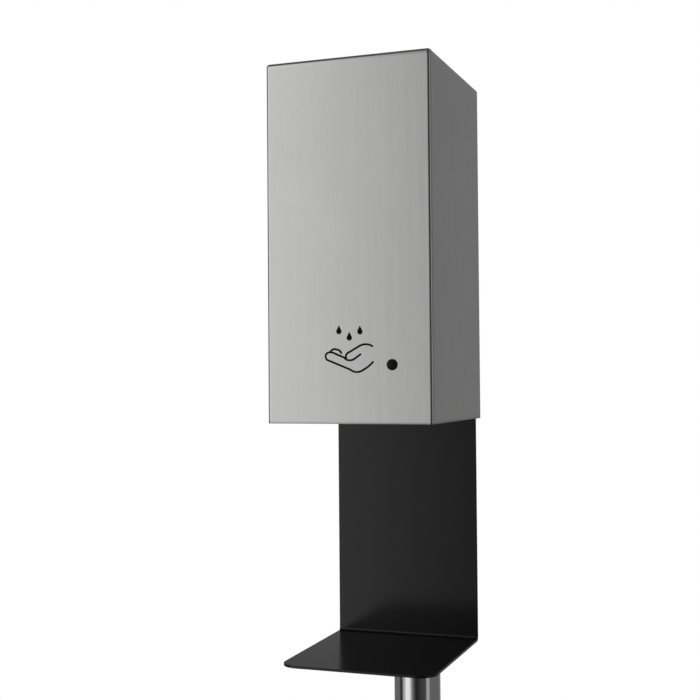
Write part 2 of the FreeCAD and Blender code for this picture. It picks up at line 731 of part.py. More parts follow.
def make_rivet_nuts():
    nuts = []
    for height in fixings:
        flange = rod("y", 0, post_front - S.rivet_nut_flange_thickness, height,
                     S.rivet_nut_flange_thickness, S.rivet_nut_flange)
        body = rod("y", 0, post_front, height, S.rivet_nut_length, S.rivet_nut_radius)
        bore = rod("y", 0, 0, height, S.post_setback, S.bracket_screw_radius + S.thread_gap)
        nuts.append(cut(join(flange, body), bore))
    keep_solids("rivet_nuts", *nuts)


def make_bracket_screws():
    screws = []
    for height in fixings:
        head = rod("y", 0, -S.bracket_screw_head_height, height, S.bracket_screw_head_height,
                   S.bracket_screw_head)
        shank = rod("y", 0, 0, height, S.bracket_screw_length, S.bracket_screw_radius)
        screws.append(join(head, shank))
    keep_solids("bracket_screws", *screws)


# Chassis

def shelf_screw_places():
    """Where the pump bracket and the battery tray are screwed to the shelf."""
    foot = case_back + S.pump_bracket_sheet + S.pump_bracket_foot / 2
    bracket_screws = [(pump_x + side * S.pump_bracket_screw_side, foot, S.pump_bracket_sheet)
                      for side in (-1, 1)]
    ear_middle = S.battery_left - S.battery_ear / 2
    return bracket_screws + [(ear_middle, y, S.battery_ear_thickness) for y in battery_ears]


def make_chassis():
    chassis = Piece("chassis")
    flange_top = cover_top_inside - S.hinge_boss_gap
    boss = flange_top - hinge_z
    flange_back = hinge_y + boss
    sweep = root(S.hinge_from_back * S.hinge_from_back + S.hinge_from_top * S.hinge_from_top)
    panel_top = hinge_z - sweep - S.moving_gap
    flange = [(-S.chassis_flange, shelf_low), (-S.chassis_flange, flange_top),
              (flange_back, flange_top), (flange_back, panel_top), (0, panel_top), (0, shelf_low)]
    between = chassis_side * 2 - S.chassis_sheet * 2
    inner_side = chassis_side - S.chassis_sheet
    chassis.pad("YZ_Plane", 0, chassis_side * 2, flange, middle=True)
    chassis.pocket("YZ_Plane", 0, between,
                   rectangle(-S.chassis_flange - S.overcut, shelf_low - S.overcut,
                             S.overcut, flange_top + S.overcut), middle=True)
    chassis.pad("XZ_Plane", 0, S.chassis_sheet,
                rectangle(-chassis_side, shelf_low, chassis_side, panel_top), toward=-1)
    chassis.pad("XY_Plane", shelf_low, S.chassis_sheet,
                rectangle(-chassis_side, shelf_front, chassis_side, 0))
    chassis.round(boss, chassis.edges("x", y=flange_back, z=flange_top))
    chassis.round(S.chassis_sheet,
                  chassis.edges("z", x=-inner_side, y=chassis_face),
                  chassis.edges("z", x=inner_side, y=chassis_face))
    chassis.pocket("YZ_Plane", 0, chassis_side * 2,
                   Circle(hinge_y, hinge_z, S.hinge_pin_radius + S.running_gap), middle=True)
    back_holes = [Circle(0, height, S.bracket_screw_head + S.screw_hole_gap) for height in fixings]
    back_holes += [Circle(x, z, S.chassis_screw_radius + S.screw_hole_gap)
                   for x, z in chassis_fixings]
    back_holes += [Circle(x, z, S.shelf_screw_radius + S.thread_gap) for x, z in deck_fixings]
    back_holes += [Circle(x, z, S.board_screw_radius + S.thread_gap) for x, z in board_fixings]
    chassis.pocket("XZ_Plane", 0, S.chassis_sheet, *back_holes, toward=-1)
    shelf_holes = [
        Circle(0, dock_y, S.nozzle_radius + S.seat_gap),
        Circle(0, -S.sensor_reach, S.sensor_lens_radius + S.seat_gap),
        Circle(S.lock_side, -S.lock_reach, S.lock_radius + S.seat_gap),
    ]
    shelf_holes += [Circle(x, y, S.shelf_screw_radius + S.thread_gap)
                    for x, y, _ in shelf_screw_places()]
    shelf_holes += [Circle(0, y, S.small_screw_radius + S.thread_gap) for y in sensor_fixings]
    chassis.pocket("XY_Plane", shelf_low, S.chassis_sheet, *shelf_holes)
    keep(chassis)


def make_chassis_screws():
    screws = []
    nuts = []
    length = S.chassis_sheet + S.plate_sheet + S.chassis_nut_height + S.seat_gap
    for x, z in chassis_fixings:
        head = rod("y", x, chassis_face - S.chassis_screw_head_height, z,
                   S.chassis_screw_head_height, S.chassis_screw_head)
        shank = rod("y", x, chassis_face, z, length, S.chassis_screw_radius)
        screws.append(join(head, shank))
        nut = hexagon("y", x, plate_back, z, S.chassis_nut_height, S.chassis_nut_radius)
        bore = rod("y", x, 0, z, S.post_setback, S.chassis_screw_radius + S.thread_gap)
        nuts.append(cut(nut, bore))
    keep_solids("chassis_screws", *screws)
    keep_solids("chassis_nuts", *nuts)


# Deck, refill bottle and its cap

deck_screw_z = deck_low - (S.deck_flange - S.deck_plate) / 2
deck_fixings = [(side * S.deck_screw_side, deck_screw_z) for side in (-1, 1)]
switch_z = deck_low - S.skirt_height / 2


def make_bottle_deck():
    deck = Piece("bottle_deck")
    front = -S.deck_reach
    socket_low = cap_seat - S.valve_cap_floor
    socket = S.valve_cap_radius + S.moving_gap
    deck.pad("XY_Plane", deck_low, S.deck_plate,
             rectangle(-S.deck_half_width, front, S.deck_half_width, chassis_face))
    deck.pad("XZ_Plane", chassis_face, S.deck_wall,
             rectangle(-S.deck_half_width, deck_top - S.deck_flange, S.deck_half_width, deck_top),
             toward=-1)
    deck.pad("XY_Plane", deck_top, deck_top - socket_low,
             Circle(0, dock_y, socket + S.deck_wall), toward=-1)
    deck.pad("XZ_Plane", front, S.deck_wall,
             rectangle(S.switch_side - S.skirt_width / 2, deck_low - S.skirt_height,
                       S.switch_side + S.skirt_width / 2, deck_low))
    inside = (S.bottle_width / 2 + S.moving_gap, S.bottle_depth / 2 + S.moving_gap)
    outside = (inside[0] + S.deck_wall, inside[1] + S.deck_wall)
    deck.pad("XY_Plane", deck_top, S.deck_rim,
             rectangle(-outside[0], dock_y - outside[1], outside[0], dock_y + outside[1]),
             rectangle(-inside[0], dock_y - inside[1], inside[0], dock_y + inside[1]))
    inner_corners = [deck.edges("z", x=side_x * inside[0], y=dock_y + side_y * inside[1])
                     for side_x in (-1, 1) for side_y in (-1, 1)]
    deck.round(S.bottle_corner - S.moving_gap, *inner_corners)
    outer_corners = [deck.edges("z", x=side_x * outside[0], y=dock_y + side_y * outside[1])
                     for side_x in (-1, 1) for side_y in (-1, 1)]
    deck.round(S.bottle_corner + S.deck_wall, *outer_corners)
    deck.pocket("XY_Plane", deck_top, deck_top - cap_seat, Circle(0, dock_y, socket), toward=-1)
    deck.pocket("XY_Plane", cap_seat, S.valve_cap_floor,
                Circle(0, dock_y, S.tube_radius + S.moving_gap), toward=-1)
    deck.pocket("XZ_Plane", chassis_face, S.deck_wall,
                *[Circle(x, z, S.shelf_screw_radius + S.screw_hole_gap) for x, z in deck_fixings],
                toward=-1)
    half_window = (S.switch_width / 2 + S.seat_gap, S.switch_height / 2 + S.seat_gap)
    deck.pocket("XZ_Plane", front, S.deck_wall,
                rectangle(S.switch_side - half_window[0], switch_z - half_window[1],
                          S.switch_side + half_window[0], switch_z + half_window[1]))
    keep(deck)


def make_deck_screws():
    screws = []
    seat = chassis_face - S.deck_wall
    for x, z in deck_fixings:
        head = rod("y", x, seat - S.shelf_screw_head_height, z, S.shelf_screw_head_height,
                   S.shelf_screw_head)
        shank = rod("y", x, seat, z, S.deck_wall + S.chassis_sheet - S.seat_gap,
                    S.shelf_screw_radius)
        screws.append(join(head, shank))
    keep_solids("deck_screws", *screws)


def make_refill_bottle():
    bottle = Piece("refill_bottle")
    half_width = S.bottle_width / 2
    half_depth = S.bottle_depth / 2
    bottle.pad("XY_Plane", bottle_low, bottle_top - bottle_low,
               rectangle(-half_width, dock_y - half_depth, half_width, dock_y + half_depth))
    corners = [bottle.edges("z", x=side_x * half_width, y=dock_y + side_y * half_depth)
               for side_x in (-1, 1) for side_y in (-1, 1)]
    bottle.round(S.bottle_corner, *corners)
    bottle.round(S.bottle_edge, bottle.flat_edges(bottle_low), bottle.flat_edges(bottle_top))
    neck_low = cap_seat + S.valve_cap_floor + S.seat_gap
    bottle.pad("XY_Plane", bottle_low, bottle_low - neck_low, Circle(0, dock_y, S.neck_radius),
               toward=-1)
    keep(bottle)


def make_valve_cap():
    cap = Piece("valve_cap")
    inside = S.neck_radius + S.seat_gap
    spout = S.tube_bore - S.thread_gap
    spout_low = spout_end - cap_seat
    cap.turn([(S.spout_bore, spout_low), (spout, spout_low), (spout, 0),
              (S.valve_cap_radius, 0), (S.valve_cap_radius, S.valve_cap_height),
              (inside, S.valve_cap_height), (inside, S.valve_cap_floor),
              (S.spout_bore, S.valve_cap_floor)])
    move(cap.body, 0, dock_y - S.post_setback, cap_seat + S.dispenser_height)
    nodes.append(cap.body)


# Dosing tube, pump, motor and nozzle

tube_end = shelf_top + S.nozzle_tip


def make_dosing_tube():
    """One tube from the cap round the pump to the nozzle, in the plane Y = dock_y."""
    run = S.tube_run.value
    bend = S.tube_bend.value
    wrap = tube_wrap.value
    top = (cap_seat - S.seat_gap).value

    def place(x, z):
        return FreeCAD.Vector(x, dock_y.value, z)

    def quarter(x, z, radius, start, end):
        """An arc about (x, z) between two angles in degrees."""
        points = [place(x + radius * math.cos(math.radians(angle)),
                        z + radius * math.sin(math.radians(angle)))
                  for angle in (start, (start + end) / 2, end)]
        return Part.Arc(*points).toShape()

    high = pump_z.value + wrap
    low = pump_z.value - wrap
    left = -(run + bend)
    path = Part.Wire([
        Part.LineSegment(place(0, top), place(0, high + bend)).toShape(),
        quarter(-bend, high + bend, bend, 0, -90),
        Part.LineSegment(place(-bend, high), place(left, high)).toShape(),
        quarter(left, pump_z.value, wrap, 90, 270),
        Part.LineSegment(place(left, low), place(-bend, low)).toShape(),
        quarter(-bend, low - bend, bend, 90, 0),
        Part.LineSegment(place(0, low - bend), place(0, tube_end.value)).toShape(),
    ])

    def sweep(radius):
        circle = Part.Circle(place(0, top), FreeCAD.Vector(0, 0, 1), radius)
        return path.makePipeShell([Part.Wire([circle.toShape()])], True, False)

    tube = doc.addObject("Part::Feature", "dosing_tube")
    tube.Label = "dosing_tube"
    tube.Shape = sweep(S.tube_radius.value).cut(sweep(S.tube_bore.value))
    in_dispenser(tube)
    nodes.append(tube)


def make_nozzle():
    nozzle = Piece("nozzle")
    tip = -S.nozzle_drop
    bore = S.tube_radius + S.thread_gap
    collar_top = shelf_top + S.nozzle_collar_height
    sleeve_top = low_bend - S.nozzle_sleeve
    nozzle.turn([(S.tube_bore, tip), (S.nozzle_tip, tip), (S.nozzle_radius, shelf_low),
                 (S.nozzle_radius, shelf_top), (S.nozzle_collar, shelf_top),
                 (S.nozzle_collar, collar_top), (S.nozzle_radius, collar_top),
                 (S.nozzle_radius, sleeve_top), (bore, sleeve_top), (bore, tube_end),
                 (S.tube_bore, tube_end)])
    move(nozzle.body, 0, dock_y - S.post_setback, S.dispenser_height)
    nodes.append(nozzle.body)


def lid_screw_places():
    """The three lid screws in the case's wall: one at the left, one above it and one below."""
    ring = track_radius + S.pump_case_wall / 2
    high = ring * math.sin(math.radians(60))
    return [(pump_x - ring, pump_z), (pump_x - ring / 2, pump_z + high),
            (pump_x - ring / 2, pump_z - high)]


motor_screw_places = [(pump_x, pump_z + side * S.motor_screw_offset) for side in (-1, 1)]


def make_pump_case():
    case = Piece("pump_case")
    right = pump_x + S.pump_case_right
    beyond = pump_x + case_radius + S.overcut
    low = pump_z - case_radius - S.overcut
    high = pump_z + case_radius + S.overcut
    case.pad("XZ_Plane", case_back, S.pump_case_back, Circle(pump_x, pump_z, case_radius), toward=-1)
    case.pad("XZ_Plane", case_floor, case_floor - lid_back, Circle(pump_x, pump_z, case_radius),
             Circle(pump_x, pump_z, track_radius), toward=-1)
    case.pocket("XZ_Plane", case_back, S.pump_case_back, rectangle(right, low, beyond, high),
                toward=-1)
    case.pocket("XZ_Plane", case_floor, case_floor - lid_back,
                rectangle(pump_x + S.moving_gap, low, beyond, high), toward=-1)
    case.pocket("XZ_Plane", case_back, S.pump_case_back,
                Circle(pump_x, pump_z, S.shaft_radius + S.rotor_side_gap),
                *[Circle(x, z, S.motor_screw_radius + S.seat_gap) for x, z in motor_screw_places],
                toward=-1)
    sink = S.motor_screw_head - S.motor_screw_radius
    rims = []
    for number, edge in enumerate(case.body.Tip.Shape.Edges, 1):
        if edge.Curve.TypeId != "Part::GeomCircle":
            continue
        on_floor = abs(edge.Curve.Center.y - case_floor.value) < TOUCH
        if on_floor and abs(edge.Curve.Radius - (S.motor_screw_radius + S.seat_gap).value) < TOUCH:
            rims.append(f"Edge{number}")
    case.bevel(sink, rims)
    case.pocket("XZ_Plane", lid_back, S.lid_screw_length,
                *[Circle(x, z, S.lid_screw_radius + S.thread_gap) for x, z in lid_screw_places()])
    keep(case)


def make_pump_lid():
    lid = Piece("pump_lid")
    right = pump_x + S.pump_case_right
    beyond = pump_x + case_radius + S.overcut
    lid.pad("XZ_Plane", lid_back, S.pump_lid_thickness, Circle(pump_x, pump_z, case_radius),
            toward=-1)
    lid.pocket("XZ_Plane", lid_back, S.pump_lid_thickness,
               rectangle(right, pump_z - case_radius - S.overcut, beyond,
                         pump_z + case_radius + S.overcut),
               *[Circle(x, z, S.lid_screw_radius + S.seat_gap) for x, z in lid_screw_places()],
               toward=-1)
    keep(lid)
    screws = []
    for x, z in lid_screw_places():
        head = rod("y", x, lid_front - S.lid_screw_radius, z, S.lid_screw_radius, S.lid_screw_head)
        shank = rod("y", x, lid_front, z, S.lid_screw_length, S.lid_screw_radius)
        screws.append(join(head, shank))
    keep_solids("pump_lid_screws", *screws)


def roller_places():
    """The three roller axes: one straight above the pump's axis, the others a third of a turn on."""
    return [(pump_x + S.roller_orbit * math.cos(math.radians(angle)),
             pump_z + S.roller_orbit * math.sin(math.radians(angle))) for angle in (90, 210, 330)]


def make_pump_rotor():
    hub_length = rotor_back - rotor_front
    back_disc = rod("y", pump_x, rotor_back - S.rotor_disc, pump_z, S.rotor_disc, S.rotor_radius)
    front_disc = rod("y", pump_x, rotor_front, pump_z, S.rotor_disc, S.rotor_radius)
    hub = rod("y", pump_x, rotor_front, pump_z, hub_length, S.rotor_hub)
    bore = rod("y", pump_x, rotor_front + S.rotor_disc, pump_z, hub_length,
               S.shaft_radius + S.thread_gap)
    pin_holes = [rod("y", x, rotor_front - S.overcut, z, hub_length + 2 * S.overcut,
                     S.roller_pin_radius + S.thread_gap) for x, z in roller_places()]
    keep_solids("pump_rotor", cut(join(back_disc, front_disc, hub), bore, *pin_holes))
    pins = [rod("y", x, rotor_front, z, hub_length, S.roller_pin_radius) for x, z in roller_places()]
    keep_solids("roller_pins", *pins)
    for number, (x, z) in enumerate(roller_places(), 1):
        roller = rod("y", x, dock_y - S.roller_length / 2, z, S.roller_length, S.roller_radius)
        bore = rod("y", x, dock_y - S.roller_length, z, S.roller_length * 2,
                   S.roller_pin_radius + S.running_gap)
        keep_solids(f"pump_roller_{number}", cut(roller, bore))


def make_gear_motor():
    gearbox = rod("y", pump_x, gearbox_front, pump_z, S.gearbox_length, S.gearbox_radius)
    can = rod("y", pump_x, gearbox_front + S.gearbox_length, pump_z, S.motor_length, S.motor_radius)
    depth = S.gearbox_length / 2
    shaft_bore = rod("y", pump_x, gearbox_front, pump_z, depth, S.shaft_radius + S.running_gap)
    screw_bores = [rod("y", x, gearbox_front, z, depth, S.motor_screw_radius + S.thread_gap)
                   for x, z in motor_screw_places]
    keep_solids("gear_motor", cut(join(gearbox, can), shaft_bore, *screw_bores))
    shaft_start = rotor_front + S.rotor_disc
    shaft = rod("y", pump_x, shaft_start, pump_z, gearbox_front + depth - S.moving_gap - shaft_start,
                S.shaft_radius)
    keep_solids("motor_shaft", shaft)
    screws = []
    for x, z in motor_screw_places:
        head_height = S.motor_screw_head - S.motor_screw_radius
        head = rod("y", x, case_floor, z, head_height, S.motor_screw_head, S.motor_screw_radius)
        shank = rod("y", x, case_floor, z, S.motor_screw_length, S.motor_screw_radius)
        screws.append(join(head, shank))
    keep_solids("motor_screws", *screws)


def make_pump_bracket():
    bracket = Piece("pump_bracket")
    half_foot = S.pump_bracket_foot_width / 2
    bracket.pad("XZ_Plane", case_back, S.pump_bracket_sheet,
                rectangle(pump_x - S.pump_case_right, shelf_top,
                          pump_x + S.pump_case_right, pump_z + S.pump_bracket_above))
    bracket.pad("XY_Plane", shelf_top, S.pump_bracket_sheet,
                rectangle(pump_x - half_foot, case_back,
                          pump_x + half_foot, gearbox_front + S.pump_bracket_foot))
    bracket.pocket("XZ_Plane", case_back, S.pump_bracket_sheet,
                   Circle(pump_x, pump_z, S.shaft_radius + S.rotor_side_gap),
                   *[Circle(x, z, S.motor_screw_radius + S.seat_gap)
                     for x, z in motor_screw_places])
    bracket.pocket("XY_Plane", shelf_top, S.pump_bracket_sheet,
                   *[Circle(x, y, S.shelf_screw_radius + S.screw_hole_gap)
                     for x, y, _ in shelf_screw_places()[:2]])
    keep(bracket)


def make_shelf_screws():
    screws = []
    for x, y, thickness in shelf_screw_places():
        seat = shelf_top + thickness
        head = rod("z", x, y, seat, S.shelf_screw_head_height, S.shelf_screw_head)
        shank = rod("z", x, y, shelf_low, thickness + S.chassis_sheet, S.shelf_screw_radius)
        screws.append(join(head, shank))
    keep_solids("shelf_screws", *screws)


# Batteries

cell_pitch = 2 * S.cell_radius + S.moving_gap
battery_width = 2 * cell_pitch + S.moving_gap + 2 * S.battery_wall
battery_right = S.battery_left + battery_width
battery_back = -S.battery_back_gap
battery_inside = 2 * S.cell_length + 2 * S.contact_thickness + 2 * S.seat_gap
battery_front = battery_back - battery_inside - 2 * S.battery_wall
battery_floor = shelf_top + S.battery_wall
battery_top = battery_floor + 2 * S.cell_radius + S.moving_gap
battery_ears = [battery_back - S.battery_ear_low, battery_back - 2 * S.battery_ear_low]
cell_columns = [S.battery_left + S.battery_wall + S.moving_gap + S.cell_radius + number * cell_pitch
                for number in (0, 1)]
cell_z = battery_floor + S.cell_radius
tab_top = S.lens_height + S.indicator_board_height / 2


def make_battery_tray():
    tray = Piece("battery_tray")
    tray.pad("XY_Plane", shelf_top, battery_top - shelf_top,
             rectangle(S.battery_left, battery_front, battery_right, battery_back))
    tray.pocket("XY_Plane", battery_floor, battery_top - battery_floor,
                rectangle(S.battery_left + S.battery_wall, battery_front + S.battery_wall,
                          battery_right - S.battery_wall, battery_back - S.battery_wall))
    half_tab = S.indicator_board_width / 2
    tray.pad("XZ_Plane", battery_front, S.battery_wall,
             rectangle(S.lens_side - half_tab, battery_floor, S.lens_side + half_tab, tab_top))
    ears = [rectangle(S.battery_left - S.battery_ear, y - S.battery_ear / 2,
                      S.battery_left + S.battery_wall, y + S.battery_ear / 2)
            for y in battery_ears]
    tray.pad("XY_Plane", shelf_top, S.battery_ear_thickness, *ears)
    tray.pocket("XY_Plane", shelf_top, S.battery_ear_thickness,
                *[Circle(x, y, S.shelf_screw_radius + S.screw_hole_gap)
                  for x, y, _ in shelf_screw_places()[2:]])
    tray.pocket("XZ_Plane", battery_front, S.battery_wall,
                *[Circle(S.lens_side, z, S.small_screw_radius + S.thread_gap)
                  for z in indicator_fixings])
    keep(tray)


def make_battery_door():
    front = battery_front + S.battery_wall + S.seat_gap
    lid = block(S.battery_left, battery_right, front, battery_back,
                battery_top, battery_top + S.battery_door_thickness)
    finger = rod("z", battery_right, (front + battery_back) / 2, battery_top - S.overcut,
                 S.overcut * 2 + S.battery_door_thickness, S.cell_radius / 2)
    keep_solids("battery_door", cut(lid, finger))


def make_battery_cells():
    cells = []
    contacts = []
    first = battery_front + S.battery_wall + S.contact_thickness + S.seat_gap
    last = first + 2 * S.cell_length
    for x in cell_columns:
        for start in (first, first + S.cell_length):
            can = rod("y", x, start + S.cell_cap, cell_z, S.cell_length - S.cell_cap, S.cell_radius)
            knob = rod("y", x, start, cell_z, S.cell_cap, S.cell_cap_radius)
            cells.append(join(can, knob))
        half = S.contact_side / 2
        contacts.append(block(x - half, x + half, first - S.contact_thickness, first,
                              cell_z - half, cell_z + half))
        contacts.append(block(x - half, x + half, last, last + S.contact_thickness,
                              cell_z - half, cell_z + half))
    keep_solids("battery_cells", *cells)
    keep_solids("battery_contacts", *contacts)


# Electronics

board_left = S.control_board_left
board_right = board_left + S.control_board_width
board_low = S.control_board_low
board_high = board_low + S.control_board_height
board_back = chassis_face - S.control_board_gap
board_face = board_back - S.board_thickness
board_fixings = [(x, z)
                 for x in (board_left + S.board_screw_inset, board_right - S.board_screw_inset)
                 for z in (board_low + S.board_screw_inset, board_high - S.board_screw_inset)]
sensor_y = -S.sensor_reach
sensor_board_low = shelf_top + S.sensor_board_gap
sensor_board_top = sensor_board_low + S.board_thickness
sensor_fixings = [sensor_y + side * (S.sensor_board_length / 2 - S.board_screw_inset)
                  for side in (-1, 1)]
indicator_back = battery_front - S.indicator_board_gap
indicator_face = indicator_back - S.board_thickness
indicator_fixings = [S.lens_height + side * (S.indicator_board_height / 2 - S.small_screw_head)
                     for side in (-1, 1)]


def make_control_board():
    board = block(board_left, board_right, board_face, board_back, board_low, board_high)
    holes = [rod("y", x, board_face - S.overcut, z, S.overcut * 2 + S.board_thickness,
                 S.board_screw_radius + S.seat_gap) for x, z in board_fixings]
    keep_solids("control_board", cut(board, *holes))
    standoffs = []
    screws = []
    for x, z in board_fixings:
        post = rod("y", x, board_back, z, S.control_board_gap, S.standoff_radius)
        bore = rod("y", x, board_back - S.overcut, z, S.control_board_gap + 2 * S.overcut,
                   S.board_screw_radius + S.thread_gap)
        standoffs.append(cut(post, bore))
        head = rod("y", x, board_face - S.board_screw_head_height, z, S.board_screw_head_height,
                   S.board_screw_head)
        length = S.board_thickness + S.control_board_gap + S.chassis_sheet - S.seat_gap
        screws.append(join(head, rod("y", x, board_face, z, length, S.board_screw_radius)))
    keep_solids("board_standoffs", *standoffs)
    keep_solids("control_board_screws", *screws)


def make_board_components():
    """Processor, relay, two capacitors and two plugs on the face of the control board."""
    middle_x = (board_left + board_right) / 2
    middle_z = (board_low + board_high) / 2
    clear = S.board_screw_inset * 2 + S.board_screw_head
    chip_half = S.chip_side / 2
    chip = block(middle_x - chip_half, middle_x + chip_half, board_face - S.board_thickness,
                 board_face, middle_z - chip_half, middle_z + chip_half)
    relay = block(board_left + S.board_thickness, middle_x - S.chip_side,
                  board_face - S.control_board_gap, board_face,
                  middle_z - chip_half, middle_z + chip_half)
    plugs = [block(x - chip_half, x + chip_half, board_face - S.control_board_gap, board_face,
                   board_low + S.board_thickness, board_low + S.board_thickness + chip_half)
             for x in (middle_x - clear / 2, middle_x + clear / 2)]
    cans = [rod("y", middle_x + clear, board_face - S.control_board_gap, middle_z + side * chip_half,
                S.control_board_gap, S.capacitor_radius) for side in (-1, 1)]
    keep_solids("board_components", chip, relay, *plugs, *cans)


def make_sensor():
    stem = rod("z", 0, sensor_y, shelf_low, S.chassis_sheet, S.sensor_lens_radius)
    flange = rod("z", 0, sensor_y, shelf_top, S.sensor_lens_flange_thickness, S.sensor_lens_flange)
    keep_solids("sensor_lens", join(stem, flange))
    half_width = S.sensor_board_width / 2
    half_length = S.sensor_board_length / 2
    board = block(-half_width, half_width, sensor_y - half_length, sensor_y + half_length,
                  sensor_board_low, sensor_board_top)
    holes = [rod("z", 0, y, sensor_board_low - S.overcut, 2 * S.overcut + S.board_thickness,
                 S.small_screw_radius + S.seat_gap) for y in sensor_fixings]
    keep_solids("sensor_board", cut(board, *holes))
    standoffs = []
    for y in sensor_fixings:
        post = rod("z", 0, y, shelf_top, S.sensor_board_gap, S.sensor_standoff_radius)
        bore = rod("z", 0, y, shelf_top - S.overcut, S.sensor_board_gap + 2 * S.overcut,
                   S.small_screw_radius + S.thread_gap)
        standoffs.append(cut(post, bore))
    keep_solids("sensor_standoffs", *standoffs)
    diodes = [rod("z", 0, sensor_y + side * S.light_spacing / 2, sensor_board_low - S.light_length,
                  S.light_length, S.light_radius) for side in (-1, 1)]
    keep_solids("infrared_pair", *diodes)


def make_indicator():
    half_width = S.indicator_board_width / 2
    half_height = S.indicator_board_height / 2
    board = block(S.lens_side - half_width, S.lens_side + half_width, indicator_face, indicator_back,
                  S.lens_height - half_height, S.lens_height + half_height)
    holes = [rod("y", S.lens_side, indicator_face - S.overcut, z,
                 2 * S.overcut + S.board_thickness, S.small_screw_radius + S.seat_gap)
             for z in indicator_fixings]
    keep_solids("indicator_board", cut(board, *holes))
    bulb = rod("y", S.lens_side, indicator_face - S.light_length, S.lens_height, S.light_length,
               S.light_radius)
    keep_solids("status_light", bulb)


def make_small_screws():
    """Two screws down through the sensor board and two back through the indicator board."""
    screws = []
    for y in sensor_fixings:
        head = rod("z", 0, y, sensor_board_top, S.small_screw_head_height, S.small_screw_head)
        length = S.board_thickness + S.sensor_board_gap + S.chassis_sheet
        screws.append(join(head, rod("z", 0, y, shelf_low, length, S.small_screw_radius)))
    for z in indicator_fixings:
        head = rod("y", S.lens_side, indicator_face - S.small_screw_head_height, z,
                   S.small_screw_head_height, S.small_screw_head)
        length = S.board_thickness + S.indicator_board_gap + S.battery_wall - S.seat_gap
        screws.append(join(head, rod("y", S.lens_side, indicator_face, z, length,
                                     S.small_screw_radius)))
    keep_solids("small_board_screws", *screws)


# Power switch

switch_front = -S.deck_reach - S.switch_bezel
rocker_axis = switch_front + S.rocker_depth / 2


def make_switch():
    body = Piece("switch_body")
    half_width = S.switch_width / 2
    half_height = S.switch_height / 2
    bezel_width = half_width + S.switch_bezel
    bezel_height = half_height + S.switch_bezel
    body.pad("XZ_Plane", -S.deck_reach, S.switch_bezel,
             rectangle(S.switch_side - bezel_width, switch_z - bezel_height,
                       S.switch_side + bezel_width, switch_z + bezel_height), toward=-1)
    body.pad("XZ_Plane", -S.deck_reach, S.switch_depth,
             rectangle(S.switch_side - half_width, switch_z - half_height,
                       S.switch_side + half_width, switch_z + half_height))
    well_width = S.rocker_width / 2 + S.moving_gap
    well_height = half_height - S.switch_bezel
    body.pocket("XZ_Plane", switch_front, S.rocker_well,
                rectangle(S.switch_side - well_width, switch_z - well_height,
                          S.switch_side + well_width, switch_z + well_height))
    body.pocket("YZ_Plane", S.switch_side, S.switch_width - S.switch_bezel,
                Circle(rocker_axis, switch_z, S.roller_pin_radius + S.running_gap), middle=True)
    keep(body)

    rocker = Piece("switch_rocker")
    half = S.rocker_height / 2
    depth = S.rocker_depth
    rocker.pad("YZ_Plane", 0, S.rocker_width,
               [(depth / 2, -half), (depth / 2, half), (-depth - S.moving_gap, half),
                (-depth + S.moving_gap, 0), (-depth - S.moving_gap, -half)], middle=True)
    rocker.pad("YZ_Plane", 0, S.switch_width - S.switch_bezel - S.moving_gap,
               Circle(0, 0, S.roller_pin_radius), middle=True)
    tilt = FreeCAD.Rotation(FreeCAD.Vector(1, 0, 0), -S.rocker_tilt.value)
    rocker.body.Placement = FreeCAD.Placement(FreeCAD.Vector(), tilt)
    move(rocker.body, S.switch_side, rocker_axis - S.post_setback, switch_z + S.dispenser_height)
    nodes.append(rocker.body)


# Cam lock and catch

lock_y = -S.lock_reach
lock_low = shelf_low - S.lock_flange_thickness
lock_top = shelf_low + S.lock_length
cam_low = lock_top + S.moving_gap
cam_top = cam_low + S.lock_cam_sheet
catch_low = cam_top + S.lock_screw_head_height + S.catch_lift


def make_lock():
    flange = rod("z", S.lock_side, lock_y, lock_low, S.lock_flange_thickness, S.lock_flange)
    barrel = rod("z", S.lock_side, lock_y, shelf_low, S.lock_length, S.lock_radius)
    bore = rod("z", S.lock_side, lock_y, lock_low - S.overcut,
               S.lock_flange_thickness + S.lock_length + 2 * S.overcut,
               S.lock_plug_radius + S.running_gap)
    keep_solids("lock_housing", cut(join(flange, barrel), bore))
    nut = hexagon("z", S.lock_side, lock_y, shelf_top, S.lock_nut_height, S.lock_nut_radius)
    thread = rod("z", S.lock_side, lock_y, shelf_top - S.overcut,
                 S.lock_nut_height + 2 * S.overcut, S.lock_radius + S.thread_gap)
    keep_solids("lock_nut", cut(nut, thread))

    plug = rod("z", S.lock_side, lock_y, lock_low, cam_low - lock_low, S.lock_plug_radius)
    stub = rod("z", S.lock_side, lock_y, cam_low, S.lock_cam_sheet, S.lock_stub_radius)
    half_slot = (S.key_slot_width / 2, S.key_slot_length / 2)
    keyway = block(S.lock_side - half_slot[0], S.lock_side + half_slot[0],
                   lock_y - half_slot[1], lock_y + half_slot[1],
                   lock_low - S.overcut, lock_low + S.key_slot_depth)
    screw_bore = rod("z", S.lock_side, lock_y, cam_top - S.overcut, 2 * S.overcut,
                     S.lock_screw_radius + S.thread_gap)
    keep_solids("lock_plug", cut(join(plug, stub), keyway, screw_bore))

    half_cam = S.lock_cam_width / 2
    arm = block(S.lock_side - half_cam, S.lock_side + half_cam, lock_y - S.lock_cam_length, lock_y,
                cam_low, cam_top)
    hub = rod("z", S.lock_side, lock_y, cam_low, S.lock_cam_sheet, half_cam)
    eye = rod("z", S.lock_side, lock_y, cam_low - S.overcut, S.lock_cam_sheet + 2 * S.overcut,
              S.lock_stub_radius + S.seat_gap)
    keep_solids("lock_cam", cut(join(arm, hub), eye))

    head = rod("z", S.lock_side, lock_y, cam_top, S.lock_screw_head_height, S.lock_screw_head)
    shank = rod("z", S.lock_side, lock_y, cam_top - S.overcut + S.seat_gap,
                S.overcut - S.seat_gap, S.lock_screw_radius)
    keep_solids("lock_cam_screw", join(head, shank))


